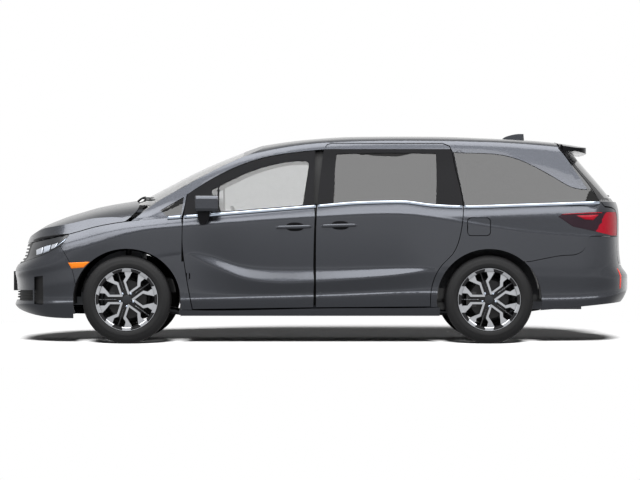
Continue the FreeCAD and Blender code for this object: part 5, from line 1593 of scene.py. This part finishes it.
    def build(self) -> None:
        """Makes each pad once, then sets them at every place."""
        cushion = self.pad(self.CUSHION, 0.028, 0.62, (-0.45, 0.05, 0.55))
        back = self.pad(self.BACK, 0.030, 0.62, (-0.5, -0.1, 0.3))
        head = self.swell(self.HEAD, 0.0)
        frames: list[Part] = []
        for node, x, half_gap in self.ROWS:
            parts = []
            for y in (-half_gap, half_gap):
                parts.append(self.place(cushion, (x, y, self.CUSHION_Z)))
                parts.append(self.place(back, (x + self.BACK_STEP, y, self.BACK_Z), self.LEAN, True))
                parts.append(self.place(head, (x + self.HEAD_STEP, y, self.HEAD_Z), self.HEAD_LEAN, True))
                frames.append(block((x, y, self.PLINTH_Z), self.PLINTH))
                for gap in self.ROD_GAPS:
                    foot = (x + self.ROD_STEP, y + gap, self.ROD_Z)
                    frames.append(block(foot, self.ROD, 1.0, self.HEAD_LEAN, 12))
            self.dress(node, parts)
        self.builder.piece("seat_plinths", merge(frames), Shelf.BLACK_GRAIN)
        bench = self.pad(self.BENCH, 0.010, 0.34, (0.0,))
        bench_back = self.pad(self.BENCH_BACK, 0.010, 0.34, (0.0,))
        self.dress("third_row_bench", [self.place(bench, (self.BENCH_X, 0.0, self.CUSHION_Z)),
                                       self.place(bench_back, (self.BENCH_X + self.BACK_STEP, 0.0, self.BENCH_BACK_Z),
                                                  self.BENCH_LEAN, True)])
        self.builder.piece("bench_plinth", block((self.BENCH_X, 0.0, self.PLINTH_Z), self.BENCH_PLINTH),
                           Shelf.BLACK_GRAIN)


class Studio:
    """The pale floor, the soft light and the camera at the photograph's place."""

    LENS = 187.32
    DISTANCE = 28.5
    HEIGHT = 0.858
    FLOOR_HALF = 90.0
    HORIZON = 0.95
    AMBIENT = 0.02
    FLOOR_DIM = 0.5
    SUN_LEAN = 69.0
    SUN_POWER = 11.0
    SUN_ANGLE = 9.0
    DIM_REACH = (4.0, 9.0)
    WHITE_REACH = (3.6, 6.5)
    AIM = (0.0, 0.0, 0.8)

    # Each lamp's name, its place, its width and height, and its power in watts

    LAMPS = (("lamp_top", (0.0, -1.6, 7.4), (13.0, 4.6), 1400), ("lamp_front", (0.0, -6.4, 5.6), (15.0, 4.2), 1150))

    def put(self, name: str, data: Any) -> bpy.types.Object:
        """Links a camera or a light to the scene.

        Args:
            name: the object's name.
            data: its data.

        Returns:
            The object.
        """
        item = bpy.data.objects.new(name, data)
        bpy.context.scene.collection.objects.link(item)
        return item

    def camera(self) -> None:
        """Puts the camera level at the car's left side, far away with a long lens."""
        data = bpy.data.cameras.new("camera")
        data.lens = self.LENS
        data.sensor_width = 36.0
        data.clip_end = 200.0
        camera = self.put("camera", data)
        camera.location = (0.0, -self.DISTANCE, self.HEIGHT)
        camera.rotation_euler = (math.radians(90), 0.0, 0.0)
        bpy.context.scene.camera = camera

    def ray(self, tree: bpy.types.NodeTree, kind: str) -> bpy.types.NodeSocket:
        """Gives 1 for rays of one kind, such as Camera, and 0 for others."""
        return wire(tree, "LightPath", "Is %s Ray" % kind, {})

    def math(self, tree: bpy.types.NodeTree, operation: str, one: Any, two: Any) -> bpy.types.NodeSocket:
        """Joins two values by a Math node's operation."""
        return wire(tree, "Math", 0, {0: one, 1: two}, operation=operation)

    def seen(self, tree: bpy.types.NodeTree) -> bpy.types.NodeSocket:
        """Gives 1 for rays of the eye, also through glass."""
        return self.math(tree, "MAXIMUM", self.ray(tree, "Camera"), self.ray(tree, "Transmission"))

    def world(self) -> None:
        """Makes a white surround for the eye, gloss and glass, which lights the scene only a little."""
        world = bpy.data.worlds.new("world")
        world.use_nodes = True
        tree = world.node_tree
        background = tree.nodes["Background"]
        background.inputs["Color"].default_value = (1.0, 1.0, 1.0, 1.0)
        up = wire(tree, "SeparateXYZ", "Z", {0: wire(tree, "TexCoord", "Generated", {})})
        height = wire(tree, "MapRange", "Result", {"Value": up, "From Min": 0.0, "From Max": 0.7,
                                                   "To Min": self.HORIZON, "To Max": 1.0})
        sky = self.math(tree, "MULTIPLY", self.ray(tree, "Glossy"), height)
        shown = self.math(tree, "MAXIMUM", self.seen(tree), sky)
        level = wire(tree, "MapRange", "Result", {"Value": shown, "To Min": self.AMBIENT, "To Max": 1.0})
        tree.links.new(level, background.inputs["Strength"])
        bpy.context.scene.world = world

    def floor(self) -> bpy.types.Object:
        """Lays the pale floor, which shows white to the eye far from the car, and dimmer in the car's gloss near it.

        Returns:
            The floor.
        """
        half = self.FLOOR_HALF
        corners = np.array([(-half, -half, 0), (half, -half, 0), (half, half, 0), (-half, half, 0)])
        floor = new_object("floor", corners, [(0, 1, 2, 3)])
        material, shader = Finish("studio_floor", "f7f7f7", 0.9, specular=0.1).start()
        tree = material.node_tree
        place = wire(tree, "TexCoord", "Object", {})
        squeezed = wire(tree, "Mapping", "Vector", {"Vector": place, "Scale": (0.8, 1.0, 1.0)})
        reach = wire(tree, "VectorMath", "Value", {0: squeezed}, operation="LENGTH")

        def fade(first: float, last: float, low: float, high: float) -> bpy.types.NodeSocket:
            """A smooth change from low to high between two distances from the car."""
            return wire(tree, "MapRange", "Result", {"Value": reach, "From Min": first, "From Max": last,
                                                     "To Min": low, "To Max": high}, interpolation_type="SMOOTHSTEP")

        def mix(share: bpy.types.NodeSocket, base: bpy.types.NodeSocket, strength: float) -> bpy.types.NodeSocket:
            """The base shader with a share of plain white light of one strength."""
            glow = wire(tree, "Emission", 0, {"Strength": strength})
            return wire(tree, "MixShader", 0, {0: share, 1: base, 2: glow})

        dim = self.math(tree, "MULTIPLY", self.ray(tree, "Glossy"), fade(*self.DIM_REACH, self.FLOOR_DIM, 0.0))
        white = self.math(tree, "MULTIPLY", self.seen(tree), fade(*self.WHITE_REACH, 0.0, 1.0))
        look = mix(white, mix(dim, shader.outputs["BSDF"], 0.0), 1.0)
        tree.links.new(look, tree.nodes["Material Output"].inputs["Surface"])
        floor.data.materials.append(material)
        return floor

    def lights(self, floor: bpy.types.Object) -> None:
        """Hangs two lamps that light the car alone, and a low sun that lights the floor alone.

        The sun's shade of the car lies behind it.

        Args:
            floor: the floor.
        """
        car = bpy.data.collections.new("lit_car")
        ground = bpy.data.collections.new("lit_floor")
        for group in (car, ground):
            group.objects.link(floor)
        car.collection_objects[0].light_linking.link_state = "EXCLUDE"
        for name, place, size, power in self.LAMPS:
            data = bpy.data.lights.new(name, "AREA")
            data.shape = "RECTANGLE"
            data.size, data.size_y = size
            data.energy = power
            lamp = self.put(name, data)
            lamp.location = place
            lamp.rotation_euler = (Vector(self.AIM) - Vector(place)).to_track_quat("-Z", "Y").to_euler()
            lamp.light_linking.receiver_collection = car
        sun = bpy.data.lights.new("lamp_floor", "SUN")
        sun.energy = self.SUN_POWER
        sun.angle = math.radians(self.SUN_ANGLE)
        low = self.put("lamp_floor", sun)
        low.rotation_euler = (math.radians(self.SUN_LEAN), 0.0, 0.0)
        low.light_linking.receiver_collection = ground

    def build(self) -> None:
        """Sets up the whole studio."""
        bpy.context.scene.view_settings.view_transform = "Standard"
        self.camera()
        self.world()
        self.lights(self.floor())


def main() -> None:
    """Loads the solids, dresses them and reports each piece."""
    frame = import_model()
    Studio().build()
    builder = Builder(frame, Shelf())
    Panels(builder).build()
    wheels = [Wheel(builder, end, side) for end in AXLES for side in Side]
    for wheel in wheels:
        wheel.build()
    for kind in (BeltTrim, Handles, Lenses):
        kind(builder).build()
    for wheel in wheels:
        wheel.lining()
    for kind in (Wipers, Cabin):
        kind(builder).build()
    Seats(builder).build()
    log.info("%d pieces added", builder.count)


if __name__ == "__main__":
    main()
